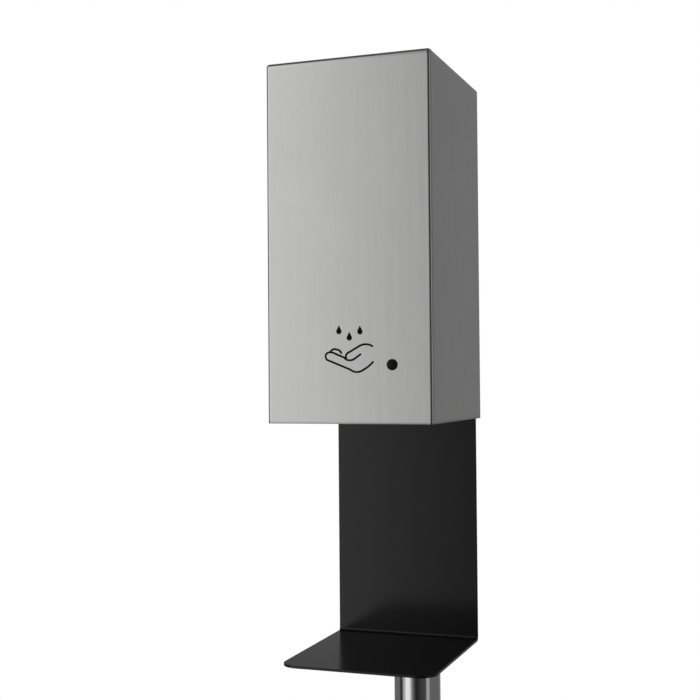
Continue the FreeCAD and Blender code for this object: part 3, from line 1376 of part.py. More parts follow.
def make_lock_catch():
    """A bent strip on the inside of the cover: the turned cam lies in front of its lip."""
    catch = Piece("lock_catch")
    left = S.lock_side + S.lock_cam_width / 2 + S.catch_side_gap
    lip_front = lock_y + S.lock_cam_width / 2 + S.moving_gap
    lip_back = lip_front + S.catch_sheet
    catch_top = catch_low + S.catch_sheet
    front = cover_front_inside
    profile = [(front, catch_low), (lip_front, catch_low), (lip_front, catch_top - S.catch_lip),
               (lip_back, catch_top - S.catch_lip), (lip_back, catch_top),
               (front + S.catch_sheet, catch_top), (front + S.catch_sheet, catch_low + S.catch_flange),
               (front, catch_low + S.catch_flange)]
    catch.pad("YZ_Plane", left, S.catch_width, profile)
    keep(catch)


# Cover and what it carries

def make_cover():
    cover = Piece("cover")
    height = S.cover_height
    cover.pad("XY_Plane", 0, height, rectangle(-cover_side, cover_front, cover_side, 0))
    cover.round(S.cover_bend,
                cover.edges("z", x=-cover_side, y=cover_front),
                cover.edges("z", x=cover_side, y=cover_front),
                cover.edges("x", y=cover_front, z=height),
                cover.edges("y", x=-cover_side, z=height),
                cover.edges("y", x=cover_side, z=height))
    cover.pocket("XY_Plane", 0, cover_top_inside,
                 rectangle(-cover_side_inside, cover_front_inside, cover_side_inside, S.overcut))
    cover.round(S.cover_bend - S.cover_wall,
                cover.edges("z", x=-cover_side_inside, y=cover_front_inside),
                cover.edges("z", x=cover_side_inside, y=cover_front_inside),
                cover.edges("x", y=cover_front_inside, z=cover_top_inside),
                cover.edges("y", x=-cover_side_inside, z=cover_top_inside),
                cover.edges("y", x=cover_side_inside, z=cover_top_inside))
    cover.pocket("XZ_Plane", 0, S.cover_depth,
                 Circle(S.lens_side, S.lens_height, S.lens_radius + S.seat_gap), toward=-1)
    keep(cover)


def make_hinge_pins():
    inner = cover_side_inside - S.hinge_pin_length
    pins = [rod("x", start, hinge_y, hinge_z, S.hinge_pin_length, S.hinge_pin_radius)
            for start in (inner, -cover_side_inside)]
    keep_solids("hinge_pins", *pins)


def make_indicator_lens():
    window = rod("y", S.lens_side, cover_front - S.lens_proud, S.lens_height,
                 S.lens_proud + S.cover_wall, S.lens_radius)
    flange = rod("y", S.lens_side, cover_front_inside, S.lens_height, S.lens_flange,
                 S.lens_radius + S.lens_flange)
    keep_solids("indicator_lens", join(window, flange))


# The printed hand, in parts of its width from its middle: each stroke is a run of (x, z) points in
# which a point marked with bend is the middle of an arc to the next one.

bend = True
HAND_STROKES = (
    # Wrist, palm, outstretched fingers, fingertip and the palm's upper edge
    [(0.496, -0.078), (0.415, -0.155, bend), (0.300, -0.228), (0.175, -0.272, bend),
     (0.020, -0.222), (-0.430, -0.040), (-0.497, 0.042, bend), (-0.412, 0.122),
     (-0.350, 0.118, bend), (-0.270, 0.083), (-0.110, 0.018), (0.028, -0.040, bend),
     (0.118, -0.008), (0.238, 0.075)],
    # Thumb
    [(0.486, 0.232), (0.350, 0.272, bend), (0.212, 0.236), (-0.004, 0.116),
     (-0.062, 0.062, bend), (-0.062, 0.002)],
    # Finger behind
    [(-0.395, 0.128), (-0.325, 0.184, bend), (-0.250, 0.172), (-0.195, 0.150, bend), (-0.166, 0.108)],
)
DROP_PLACES = ((-0.210, 0.534), (0.008, 0.404), (0.230, 0.520))


def stroke_face(points, width):
    """A flat line of constant width with round ends, in the plane Y = 0."""
    edges = []
    start = points[0]
    middle = None
    for point in points[1:]:
        if len(point) == 3:
            middle = point
            continue
        ends = [FreeCAD.Vector(place[0], place[1], 0) for place in (start, point)]
        if middle:
            halfway = FreeCAD.Vector(middle[0], middle[1], 0)
            edges.append(Part.Arc(ends[0], halfway, ends[1]).toShape())
        else:
            edges.append(Part.LineSegment(*ends).toShape())
        start = point
        middle = None
    return Part.Face(Part.Wire(edges).makeOffset2D(width / 2, 0, False, False))


def drop_face(x, z, radius, length):
    """A round drop with a pointed top, tangent sides and its round end centred at (x, z)."""
    tip = FreeCAD.Vector(x, z + length - radius, 0)
    reach = math.acos(radius / (length - radius))
    touch = [FreeCAD.Vector(x + side * radius * math.sin(reach), z + radius * math.cos(reach), 0)
             for side in (-1, 1)]
    bottom = FreeCAD.Vector(x, z - radius, 0)
    outline = [Part.LineSegment(tip, touch[0]).toShape(),
               Part.Arc(touch[0], bottom, touch[1]).toShape(),
               Part.LineSegment(touch[1], tip).toShape()]
    return Part.Face(Part.Wire(outline))


def make_printed_symbol():
    width = S.symbol_width.value
    faces = [stroke_face([(place[0] * width, place[1] * width) + tuple(place[2:])
                          for place in points], S.symbol_stroke.value) for points in HAND_STROKES]
    hand = faces[0].fuse(faces[1:]).removeSplitter()
    drops = [drop_face(x * width, z * width, S.drop_radius.value, S.drop_length.value)
             for x, z in DROP_PLACES]
    solids = [face.extrude(FreeCAD.Vector(0, 0, S.ink_thickness.value))
              for face in hand.Faces + drops]
    symbol = doc.addObject("Part::Feature", "printed_symbol")
    symbol.Label = "printed_symbol"
    symbol.Shape = Part.Compound(solids)
    upright = FreeCAD.Rotation(FreeCAD.Vector(1, 0, 0), 90)
    symbol.Placement = FreeCAD.Placement(FreeCAD.Vector(), upright)
    move(symbol, S.symbol_side, cover_front - S.post_setback, S.symbol_height + S.dispenser_height)
    nodes.append(symbol)


make_base_plate()
make_rubber_feet()
make_post()
make_post_plug()
make_post_screw()
make_post_cap()
make_drip_tray_bracket()
make_saddle_spacers()
make_rivet_nuts()
make_bracket_screws()
make_chassis()
make_chassis_screws()
make_bottle_deck()
make_deck_screws()
make_refill_bottle()
make_valve_cap()
make_dosing_tube()
make_nozzle()
make_pump_case()
make_pump_lid()
make_pump_rotor()
make_gear_motor()
make_pump_bracket()
make_shelf_screws()
make_battery_tray()
make_battery_door()
make_battery_cells()
make_control_board()
make_board_components()
make_sensor()
make_indicator()
make_small_screws()
make_switch()
make_lock()
make_lock_catch()
make_cover()
make_hinge_pins()
make_indicator_lens()
make_printed_symbol()

doc.recompute()
faults = [f"{item.Label}: {item.State}" for item in doc.Objects
          if "Invalid" in item.State or "Error" in item.State]
for node in nodes:
    if node.Shape.isNull() or not node.Shape.isValid() or not node.Shape.Solids:
        faults.append(f"{node.Label}: bad shape")
if faults:
    raise RuntimeError("; ".join(faults))

os.makedirs("parts", exist_ok=True)
for node in nodes:
    node.Shape.exportStep(f"parts/{node.Label}.step")
    box = node.Shape.BoundBox
    print(f"{node.Label:22s} solids {len(node.Shape.Solids)} volume {node.Shape.Volume:11.1f}"
          f" x {box.XMin:8.2f} {box.XMax:8.2f} y {box.YMin:8.2f} {box.YMax:8.2f}"
          f" z {box.ZMin:8.2f} {box.ZMax:8.2f}")
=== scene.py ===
import math

import bmesh
import bpy
from bpy.props import FloatProperty, FloatVectorProperty, PointerProperty
from mathutils import Matrix, Vector


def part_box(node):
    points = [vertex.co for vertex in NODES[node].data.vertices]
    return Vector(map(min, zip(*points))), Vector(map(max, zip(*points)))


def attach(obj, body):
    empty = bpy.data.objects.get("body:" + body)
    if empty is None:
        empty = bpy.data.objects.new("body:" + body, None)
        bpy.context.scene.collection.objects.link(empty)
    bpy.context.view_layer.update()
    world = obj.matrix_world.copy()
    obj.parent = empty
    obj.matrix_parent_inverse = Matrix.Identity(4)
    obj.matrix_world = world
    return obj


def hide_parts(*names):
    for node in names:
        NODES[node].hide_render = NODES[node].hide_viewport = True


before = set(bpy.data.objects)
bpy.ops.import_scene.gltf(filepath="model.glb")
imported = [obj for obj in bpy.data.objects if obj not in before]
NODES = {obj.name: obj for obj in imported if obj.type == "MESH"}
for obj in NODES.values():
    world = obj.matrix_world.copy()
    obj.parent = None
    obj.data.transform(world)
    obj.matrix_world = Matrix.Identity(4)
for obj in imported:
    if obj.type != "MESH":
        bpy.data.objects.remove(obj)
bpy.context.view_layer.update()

bl_info = {
    "name": "Hand sanitizer floor stand",
    "version": (1, 0, 0),
    "blender": (4, 5, 0),
    "location": "3D View > Sidebar > Sanitizer",
    "description": "Dresses the floor stand: steel box, black plate and tray, works and stage",
    "category": "Object",
}

LENS_PROUD = 0.0003


# Settings that a user would change

def colour(name, text, default):
    return FloatVectorProperty(name=name, description=text, default=default, subtype="COLOR", size=3,
                               min=0.0, max=1.0)


def length(name, text, default):
    return FloatProperty(name=name, description=text, default=default, unit="LENGTH", precision=4)


def share(name, text, default):
    return FloatProperty(name=name, description=text, default=default, subtype="FACTOR", min=0.0, max=1.0)


class StandFinishes(bpy.types.PropertyGroup):
    steel: colour("Stainless steel", "Colour of the brushed cover and the post", (0.71, 0.71, 0.705))
    steel_roughness: share("Brushed roughness", "Roughness of the brushed cover", 0.29)
    post_roughness: share("Post roughness", "Roughness of the ground and polished post", 0.11)
    grain: share("Grain", "How strongly the brushing shows", 0.5)
    powder: colour("Powder coat", "Colour of the plate, tray and base", (0.0020, 0.0020, 0.0022))
    powder_roughness: share("Powder coat roughness", "Roughness of the powder coat", 0.16)
    ink: colour("Ink", "Colour of the printed hand", (0.003, 0.003, 0.003))
    board: colour("Board", "Colour of the circuit boards", (0.012, 0.075, 0.035))
    ink_spread: length("Ink spread", "How far the print spreads past its outline", 0.00019)
    lens_radius: length("Lens radius", "Radius of the status lens's rim on the cover", 0.0045)
    gel_level: length("Gel level", "Height of the gel in the refill bottle above the floor", 1.232)
    bottle_panel: length("Bottle panel", "How deep the panels of the refill bottle sink", 0.0011)


class StageSettings(bpy.types.PropertyGroup):
    floor_radius: length("Floor radius", "Radius of the pale round floor", 2.4)
    floor: colour("Floor", "Colour of the floor", (0.90, 0.90, 0.90))
    ambient: FloatProperty(name="Ambient", description="Strength of the even light all round", default=0.55,
                           min=0.0)
    key: FloatProperty(name="Key light", description="Power of the large soft light at the left",
                       default=26.0, min=0.0, unit="POWER")
    top: FloatProperty(name="Top light", description="Power of the soft light overhead", default=14.0,
                       min=0.0, unit="POWER")


def finishes():
    return bpy.context.scene.stand_finishes


def stage_settings():
    return bpy.context.scene.stand_stage


# Building node trees

def wire(tree, source, target):
    tree.links.new(source, target)


def add(tree, kind, **settings):
    """Adds a node; a setting that names an input socket sets its value or links it."""
    node = tree.nodes.new(kind)
    for name, value in settings.items():
        if name in node.inputs.keys():
            if isinstance(value, bpy.types.NodeSocket):
                wire(tree, value, node.inputs[name])
            else:
                node.inputs[name].default_value = value
        else:
            setattr(node, name, value)
    return node


def maths(tree, operation, first, second=None):
    """A Math node of two numbers or sockets; gives its output."""
    node = tree.nodes.new("ShaderNodeMath")
    node.operation = operation
    for socket, value in zip(node.inputs, (first, second)):
        if isinstance(value, bpy.types.NodeSocket):
            wire(tree, value, socket)
        elif value is not None:
            socket.default_value = value
    return node.outputs[0]


def spread(tree, value, low, high, new_low, new_high):
    """Maps a value between two limits to two new ones."""
    node = add(tree, "ShaderNodeMapRange")
    wire(tree, value, node.inputs["Value"])
    for name, number in zip(("From Min", "From Max", "To Min", "To Max"), (low, high, new_low, new_high)):
        if isinstance(number, bpy.types.NodeSocket):
            wire(tree, number, node.inputs[name])
        else:
            node.inputs[name].default_value = number
    return node.outputs["Result"]


def object_place(tree):
    """Object coordinates, which stay with a piece when it moves."""
    return tree.nodes.new("ShaderNodeTexCoord").outputs["Object"]


def parts_of(tree, vector):
    """The X, Y and Z of a vector."""
    return add(tree, "ShaderNodeSeparateXYZ", Vector=vector).outputs


def group(name, inputs, outputs):
    """A new shader node group with number inputs and the named outputs."""
    tree = bpy.data.node_groups.new(name, "ShaderNodeTree")
    for label, default in inputs:
        kind = "NodeSocketVector" if isinstance(default, tuple) else "NodeSocketFloat"
        socket = tree.interface.new_socket(name=label, in_out="INPUT", socket_type=kind)
        socket.default_value = default
    for label in outputs:
        tree.interface.new_socket(name=label, in_out="OUTPUT", socket_type="NodeSocketFloat")
    return tree, tree.nodes.new("NodeGroupInput"), tree.nodes.new("NodeGroupOutput")


def noise_at(tree, scale_vector, detail, roughness, uniform=1.0):
    """Noise on Object coordinates, stretched by a vector of scales per metre."""
    stretch = tree.nodes.new("ShaderNodeVectorMath")
    stretch.operation = "MULTIPLY"
    wire(tree, object_place(tree), stretch.inputs[0])
    if isinstance(scale_vector, bpy.types.NodeSocket):
        wire(tree, scale_vector, stretch.inputs[1])
    else:
        stretch.inputs[1].default_value = scale_vector
    noise = add(tree, "ShaderNodeTexNoise", Scale=uniform, Detail=detail, Roughness=roughness)
    wire(tree, stretch.outputs[0], noise.inputs["Vector"])
    return noise.outputs["Fac"]


def grain_group():
    """Long fine scratches up the sheet, and from front to back on faces that lie level."""
    tree, given, result = group("Brushed grain", [("Fine Scale", (1500.0, 1500.0, 12.0)),
                                                  ("Broad Scale", (160.0, 160.0, 2.5)),
                                                  ("Broad Share", 0.35)], ["Streaks", "Broad"])
    surface = tree.nodes.new("ShaderNodeTexCoord")
    facing = parts_of(tree, surface.outputs["Normal"])
    level = maths(tree, "GREATER_THAN", maths(tree, "ABSOLUTE", facing["Z"]), 0.7)
    scales = []
    for label in ("Fine Scale", "Broad Scale"):
        parts = parts_of(tree, given.outputs[label])
        lying = add(tree, "ShaderNodeCombineXYZ", X=parts["X"], Y=parts["Z"], Z=parts["Y"])
        choice = tree.nodes.new("ShaderNodeMix")
        choice.data_type = "VECTOR"
        wire(tree, level, choice.inputs["Factor"])
        wire(tree, given.outputs[label], choice.inputs[4])
        wire(tree, lying.outputs[0], choice.inputs[5])
        scales.append(choice.outputs[1])
    fine = noise_at(tree, scales[0], 3.0, 0.6)
    broad = noise_at(tree, scales[1], 2.0, 0.5)
    mixed = maths(tree, "ADD",
                  maths(tree, "MULTIPLY", fine, maths(tree, "SUBTRACT", 1.0, given.outputs["Broad Share"])),
                  maths(tree, "MULTIPLY", broad, given.outputs["Broad Share"]))
    wire(tree, mixed, result.inputs["Streaks"])
    wire(tree, broad, result.inputs["Broad"])
    return tree


def texture_group():
    """The small even bumps of a powder coat or a moulded surface."""
    tree, given, result = group("Fine texture", [("Scale", 1400.0), ("Coarse Share", 0.3)],
                                ["Height", "Mottle"])
    heights = []
    for factor, detail in ((1.0, 2.0), (0.23, 1.0)):
        noise = add(tree, "ShaderNodeTexNoise", Vector=object_place(tree), Detail=detail, Roughness=0.5)
        wire(tree, maths(tree, "MULTIPLY", given.outputs["Scale"], factor), noise.inputs["Scale"])
        heights.append(noise.outputs["Fac"])
    fine_share = maths(tree, "SUBTRACT", 1.0, given.outputs["Coarse Share"])
    height = maths(tree, "ADD", maths(tree, "MULTIPLY", heights[0], fine_share),
                   maths(tree, "MULTIPLY", heights[1], given.outputs["Coarse Share"]))
    wire(tree, height, result.inputs["Height"])
    wire(tree, heights[1], result.inputs["Mottle"])
    return tree


def marks_group():
    """Soft patches where hands and cloths have passed, from 0 to 1."""
    tree, given, result = group("Handling marks", [("Scale", 14.0), ("Amount", 0.5)], ["Mask"])
    noise = add(tree, "ShaderNodeTexNoise", Vector=object_place(tree), Scale=given.outputs["Scale"],
                Detail=4.0, Roughness=0.55, Distortion=0.6)
    mask = spread(tree, noise.outputs["Fac"], 0.35, 0.7, 0.0, 1.0)
    wire(tree, maths(tree, "MULTIPLY", mask, given.outputs["Amount"]), result.inputs["Mask"])
    return tree


def dust_group():
    """A thin uneven film on the faces that look up."""
    tree, given, result = group("Dust", [("Amount", 0.3), ("Scale", 90.0)], ["Mask"])
    surface = tree.nodes.new("ShaderNodeNewGeometry")
    facing = parts_of(tree, surface.outputs["Normal"])
    up = spread(tree, facing["Z"], 0.55, 0.95, 0.0, 1.0)
    noise = add(tree, "ShaderNodeTexNoise", Vector=object_place(tree), Scale=given.outputs["Scale"],
                Detail=5.0, Roughness=0.65)
    patches = spread(tree, noise.outputs["Fac"], 0.3, 0.75, 0.25, 1.0)
    film = maths(tree, "MULTIPLY", maths(tree, "MULTIPLY", up, patches), given.outputs["Amount"])
    wire(tree, film, result.inputs["Mask"])
    return tree


def painted_bend_shade_group():
    """Painted dark reflections on the bends of a folded box and a painted darker line along its bottom rim
    (Mask), and the polish of its bends (Worn), from 0 on its faces to 1 on its edges.
    """
    tree, given, result = group("Painted bend shade and polish", [("Side", 0.0695), ("Front", -0.180), ("Top", 1.302),
                                                    ("Bottom", 1.010), ("Reach", 0.0055)],
                                ["Mask", "Worn"])
    place = parts_of(tree, object_place(tree))

    def nearness(off, width):
        """1 on a wall's plane, falling to 0 at a share of the reach from it."""
        reach = maths(tree, "MULTIPLY", given.outputs["Reach"], width)
        return maths(tree, "SUBTRACT", 1.0, maths(tree, "MINIMUM", maths(tree, "DIVIDE", off, reach), 1.0))

    across = maths(tree, "ABSOLUTE", place["X"])
    side = nearness(maths(tree, "SUBTRACT", given.outputs["Side"], across), 0.45)
    front = nearness(maths(tree, "SUBTRACT", place["Y"], given.outputs["Front"]), 0.45)
    top = nearness(maths(tree, "SUBTRACT", given.outputs["Top"], place["Z"]), 1.0)
    rim = nearness(maths(tree, "SUBTRACT", place["Z"], given.outputs["Bottom"]), 0.4)
    # Painted darker line along the bottom rim of the box.
    shade = maths(tree, "MULTIPLY", rim, 0.85)
    worn = maths(tree, "MULTIPLY", side, front)
    # Painted dark reflections on the bends; the same nearness also marks the polished bends, which only
    # lowers the roughness.
    for first, second, dark in ((side, front, 0.1), (side, top, 1.0), (front, top, 1.0)):
        near = maths(tree, "MULTIPLY", first, second)
        worn = maths(tree, "MAXIMUM", worn, near)
        shade = maths(tree, "MAXIMUM", shade, maths(tree, "MULTIPLY", near, dark))
    wire(tree, spread(tree, worn, 0.08, 0.4, 0.0, 1.0), result.inputs["Worn"])
    soft = maths(tree, "POWER", shade, 1.6)
    wire(tree, maths(tree, "MINIMUM", soft, 1.0), result.inputs["Mask"])
    return tree


GROUPS = {}


def effect(tree, name, **values):
    """Places a shared group in a material with the material's own values."""
    node = tree.nodes.new("ShaderNodeGroup")
    node.node_tree = GROUPS[name]
    for label, value in values.items():
        node.inputs[label.replace("_", " ")].default_value = value
    return node


def new_material(name, **sockets):
    """A Principled material; plain numbers are set on the shader's own sockets."""
    material = bpy.data.materials.new(name)
    material.use_nodes = True
    tree = material.node_tree
    shader = tree.nodes["Principled BSDF"]
    for label, value in sockets.items():
        shader.inputs[label.replace("_", " ")].default_value = value
    return material, tree, shader


def two_colours(tree, mask, first, second):
    """Mixes two colours by a mask."""
    mix = tree.nodes.new("ShaderNodeMix")
    mix.data_type = "RGBA"
    wire(tree, mask, mix.inputs["Factor"])
    for socket, value in ((mix.inputs["A"], first), (mix.inputs["B"], second)):
        if isinstance(value, bpy.types.NodeSocket):
            wire(tree, value, socket)
        else:
            socket.default_value = (*value, 1.0)
    return mix.outputs["Result"]


def bump(tree, shader, height, distance, strength=1.0):
    """Raises a surface by a height, at most by a distance."""
    node = add(tree, "ShaderNodeBump", Strength=strength, Distance=distance)
    wire(tree, height, node.inputs["Height"])
    wire(tree, node.outputs["Normal"], shader.inputs["Normal"])


def scaled(tone, factor):
    """A lighter or darker tone of a colour."""
    return tuple(min(1.0, channel * factor) for channel in tone)


# Materials

def steel_material(name, tone, roughness, grain, fine, broad, anisotropy, marks, bends=0.0):
    """Metal with scratches along one direction, faint broad bands and handling marks, and if asked, painted
    dark reflections on its bends.
    """
    material, tree, shader = new_material(name, Metallic=1.0, Anisotropic=anisotropy)
    scratches = effect(tree, "Brushed grain", Fine_Scale=fine, Broad_Scale=broad)
    hands = effect(tree, "Handling marks", Scale=9.0, Amount=marks)
    polish = 1.0
    shade = spread(tree, scratches.outputs["Streaks"], 0.3, 0.7, 0.0, 1.0)
    base = two_colours(tree, shade, scaled(tone, 1.0 - 0.16 * grain), scaled(tone, 1.0 + 0.12 * grain))
    if bends:
        # Painted dark reflections: the bend mask darkens the colour on the bends and along the bottom rim;
        # the polish only lowers the roughness.
        edges = effect(tree, "Painted bend shade and polish")
        base = two_colours(tree, maths(tree, "MULTIPLY", edges.outputs["Mask"], bends), base,
                           scaled(tone, 0.1))
        polish = spread(tree, edges.outputs["Worn"], 0.0, 1.0, 1.0, 0.42)
    wire(tree, base, shader.inputs["Base Color"])
    rough = maths(tree, "ADD", spread(tree, scratches.outputs["Streaks"], 0.25, 0.75,
                                      roughness * (1.0 - 0.3 * grain), roughness * (1.0 + 0.3 * grain)),
                  maths(tree, "MULTIPLY", hands.outputs["Mask"], 0.06))
    wire(tree, maths(tree, "MULTIPLY", rough, polish), shader.inputs["Roughness"])
    bump(tree, shader, scratches.outputs["Streaks"], 0.00004 * grain, 0.6)
    tangent = add(tree, "ShaderNodeTangent", direction_type="RADIAL", axis="Z")
    wire(tree, tangent.outputs["Tangent"], shader.inputs["Tangent"])
    return material


def powder_material(name, tone, roughness, texture_scale, texture_height, dust):
    """A baked powder coat: fine orange peel, small changes of gloss and a little dust."""
    material, tree, shader = new_material(name, Specular_IOR_Level=0.42)
    texture = effect(tree, "Fine texture", Scale=texture_scale, Coarse_Share=0.45)
    hands = effect(tree, "Handling marks", Scale=11.0, Amount=1.0)
    film = effect(tree, "Dust", Amount=dust, Scale=120.0)
    base = two_colours(tree, spread(tree, texture.outputs["Mottle"], 0.3, 0.7, 0.0, 1.0),
                       scaled(tone, 0.85), scaled(tone, 1.15))
    wire(tree, two_colours(tree, film.outputs["Mask"], base, (0.20, 0.20, 0.20)),
         shader.inputs["Base Color"])
    rough = maths(tree, "ADD", spread(tree, texture.outputs["Height"], 0.3, 0.7, roughness * 0.92,
                                      roughness * 1.08),
                  maths(tree, "ADD", maths(tree, "MULTIPLY", hands.outputs["Mask"], 0.05),
                        maths(tree, "MULTIPLY", film.outputs["Mask"], 0.3)))
    wire(tree, rough, shader.inputs["Roughness"])
    bump(tree, shader, texture.outputs["Height"], texture_height)
    return material


def plastic_material(name, tone, roughness, texture_scale=2600.0, texture_height=0.00002, contrast=0.05,
                     dust=0.08, **sockets):
    """Moulded plastic or rubber with a fine even texture."""
    material, tree, shader = new_material(name, **sockets)
    texture = effect(tree, "Fine texture", Scale=texture_scale, Coarse_Share=0.3)
    hands = effect(tree, "Handling marks", Scale=30.0, Amount=1.0)
    film = effect(tree, "Dust", Amount=dust, Scale=200.0)
    base = two_colours(tree, spread(tree, texture.outputs["Mottle"], 0.3, 0.7, 0.0, 1.0),
                       scaled(tone, 1.0 - contrast), scaled(tone, 1.0 + contrast))
    wire(tree, two_colours(tree, film.outputs["Mask"], base, (0.45, 0.45, 0.44)),
         shader.inputs["Base Color"])
    rough = maths(tree, "ADD", spread(tree, texture.outputs["Height"], 0.3, 0.7, roughness * 0.9,
                                      roughness * 1.1),
                  maths(tree, "MULTIPLY", hands.outputs["Mask"], 0.08))
    wire(tree, rough, shader.inputs["Roughness"])
    bump(tree, shader, texture.outputs["Height"], texture_height)
    return material


def plated_material(name, tone, second, roughness, cell_scale, spangle):
    """Zinc, nickel or bare steel: crystals or tumbled patches that change colour and gloss."""
    material, tree, shader = new_material(name, Metallic=1.0)
    cells = add(tree, "ShaderNodeTexVoronoi", Vector=object_place(tree), Scale=cell_scale, Randomness=1.0)
    parts = tree.nodes.new("ShaderNodeSeparateColor")
    wire(tree, cells.outputs["Color"], parts.inputs["Color"])
    hands = effect(tree, "Handling marks", Scale=60.0, Amount=1.0)
    mask = maths(tree, "ADD", maths(tree, "MULTIPLY", parts.outputs["Red"], spangle),
                 maths(tree, "MULTIPLY", hands.outputs["Mask"], 1.0 - spangle))
    wire(tree, two_colours(tree, mask, tone, second), shader.inputs["Base Color"])
    wire(tree, spread(tree, mask, 0.0, 1.0, roughness * 0.8, roughness * 1.25), shader.inputs["Roughness"])
    texture = effect(tree, "Fine texture", Scale=3000.0, Coarse_Share=0.5)
    bump(tree, shader, texture.outputs["Height"], 0.00001)
    return material


def board_material(name, tone, copper):
    """Solder mask with square runs of copper showing through it."""
    material, tree, shader = new_material(name, Roughness=0.3)
    cells = add(tree, "ShaderNodeTexVoronoi", distance="CHEBYCHEV", Vector=object_place(tree),
                Scale=170.0, Randomness=1.0)
    runs = maths(tree, "PINGPONG", cells.outputs["Distance"], 0.07)
    mask = spread(tree, runs, 0.038, 0.046, 0.0, 1.0)
    film = effect(tree, "Dust", Amount=0.1, Scale=200.0)
    base = two_colours(tree, mask, tone, copper)
    wire(tree, two_colours(tree, film.outputs["Mask"], base, (0.40, 0.40, 0.40)),
         shader.inputs["Base Color"])
    wire(tree, spread(tree, mask, 0.0, 1.0, 0.34, 0.22), shader.inputs["Roughness"])
    bump(tree, shader, mask, 0.00003)
    return material


def bottle_material(name, empty, filled, level):
    """Milky blown plastic with the gel showing through up to its level."""
    material, tree, shader = new_material(name, Subsurface_Weight=0.35, Subsurface_Scale=0.01)
    height = parts_of(tree, object_place(tree))["Z"]
    texture = effect(tree, "Fine texture", Scale=900.0, Coarse_Share=0.6)
    hands = effect(tree, "Handling marks", Scale=20.0, Amount=1.0)
    gel = spread(tree, height, level - 0.0012, level + 0.0004, 1.0, 0.0)
    base = two_colours(tree, gel, empty, filled)
    wire(tree, two_colours(tree, maths(tree, "MULTIPLY", texture.outputs["Mottle"], 0.12), base,
                           (0.62, 0.66, 0.68)), shader.inputs["Base Color"])
    wire(tree, spread(tree, hands.outputs["Mask"], 0.0, 1.0, 0.30, 0.42), shader.inputs["Roughness"])
    bump(tree, shader, texture.outputs["Height"], 0.00004)
    return material


def make_materials():
    """Every finish of the record, by its slot name, and the ground post's own steel."""
    look = finishes()
    steel = tuple(look.steel)
    powder = tuple(look.powder)
    made = {
        # For the brushed stainless, the last number sets how strongly its bends get painted dark
        # reflections.
        "brushed_stainless": steel_material(
            "Brushed stainless", steel, look.steel_roughness, look.grain, (1500.0, 1500.0, 28.0),
            (210.0, 210.0, 8.0), 0.55, 0.5, 0.85),
        "post_steel": steel_material(
            "Ground post steel", steel, look.post_roughness, look.grain, (900.0, 900.0, 5.0),
            (220.0, 220.0, 1.5), 0.3, 0.4),
        "black_powder_coat": powder_material(
            "Black powder coat", powder, look.powder_roughness, 1300.0, 0.000012, 0.003),
        "black_rubber": plastic_material("Black rubber", (0.018, 0.018, 0.018), 0.72, 900.0, 0.00008, 0.2,
                                         Specular_IOR_Level=0.35),
        "plain_steel": plated_material("Plain steel", (0.52, 0.52, 0.53), (0.44, 0.44, 0.45), 0.28, 500.0,
                                       0.2),
        "zinc_steel": plated_material("Zinc plated steel", (0.60, 0.62, 0.66), (0.52, 0.53, 0.55), 0.26,
                                      700.0, 0.35),
        "sheet_steel": plated_material("Galvanised sheet", (0.55, 0.56, 0.58), (0.46, 0.47, 0.49), 0.36,
                                       130.0, 0.7),
        "nickel": plated_material("Nickel", (0.62, 0.60, 0.56), (0.54, 0.52, 0.48), 0.2, 900.0, 0.2),
        "motor_can": plated_material("Motor can", (0.50, 0.50, 0.50), (0.42, 0.42, 0.43), 0.3, 300.0,
                                     0.3),
        "black_plastic": plastic_material("Black plastic", (0.015, 0.015, 0.016), 0.42),
        "grey_plastic": plastic_material("Grey plastic", (0.30, 0.31, 0.32), 0.45),
        "white_plastic": plastic_material("White plastic", (0.78, 0.78, 0.76), 0.38, dust=0.03),
        "milky_plastic": bottle_material("Milky plastic", (0.82, 0.84, 0.85), (0.64, 0.73, 0.77),
                                         look.gel_level),
        "smoked_plastic": plastic_material("Smoked plastic", (0.34, 0.35, 0.37), 0.10, contrast=0.03,
                                           dust=0.02, Transmission_Weight=0.85, IOR=1.5),
        "silicone": plastic_material("Silicone", (0.78, 0.78, 0.74), 0.34, contrast=0.02,
                                     Subsurface_Weight=0.3, Subsurface_Scale=0.004),
        "battery_wrap": plastic_material("Battery wrap", (0.03, 0.04, 0.09), 0.3, contrast=0.1),
        "board_green": board_material("Circuit board", tuple(look.board), scaled(look.board, 1.9)),
        "component_black": plastic_material("Component black", (0.02, 0.02, 0.02), 0.5),
        "lens_black": plastic_material("Lens black", (0.003, 0.003, 0.003), 0.12, dust=0.0,
                                       Specular_IOR_Level=0.12),
        "clear_resin": plastic_material("Clear resin", (0.85, 0.88, 0.90), 0.08, dust=0.0, contrast=0.02,
                                        Transmission_Weight=0.7, IOR=1.52),
        "switch_red": plastic_material("Switch red", (0.42, 0.02, 0.015), 0.3),
        "black_ink": plastic_material("Black ink", tuple(look.ink), 0.6, 5000.0, 0.000005, 0.1, dust=0.0,
                                      Specular_IOR_Level=0.1),
    }
    return made


MATERIALS = {}


# Reading the CAD nodes

def shells(name):
    """The separate solids of a CAD node, each as its lowest and highest corner and its points."""
    shape = bmesh.new()
    shape.from_mesh(NODES[name].data)
    bmesh.ops.remove_doubles(shape, verts=shape.verts, dist=1e-6)
    found = []
    met = set()
    for first in shape.verts:
        if first in met:
            continue
        met.add(first)
        waiting = [first]
        points = []
        while waiting:
            point = waiting.pop()
            points.append(point.co.copy())
            for edge in point.link_edges:
                other = edge.other_vert(point)
                if other not in met:
                    met.add(other)
                    waiting.append(other)
        low = Vector([min(point[axis] for point in points) for axis in range(3)])
        high = Vector([max(point[axis] for point in points) for axis in range(3)])
        found.append((low, high, points))
    shape.free()
    return sorted(found, key=lambda shell: tuple(round(value, 5) for value in shell[0]))


# Turns that bring +Z to each direction: axis, sign

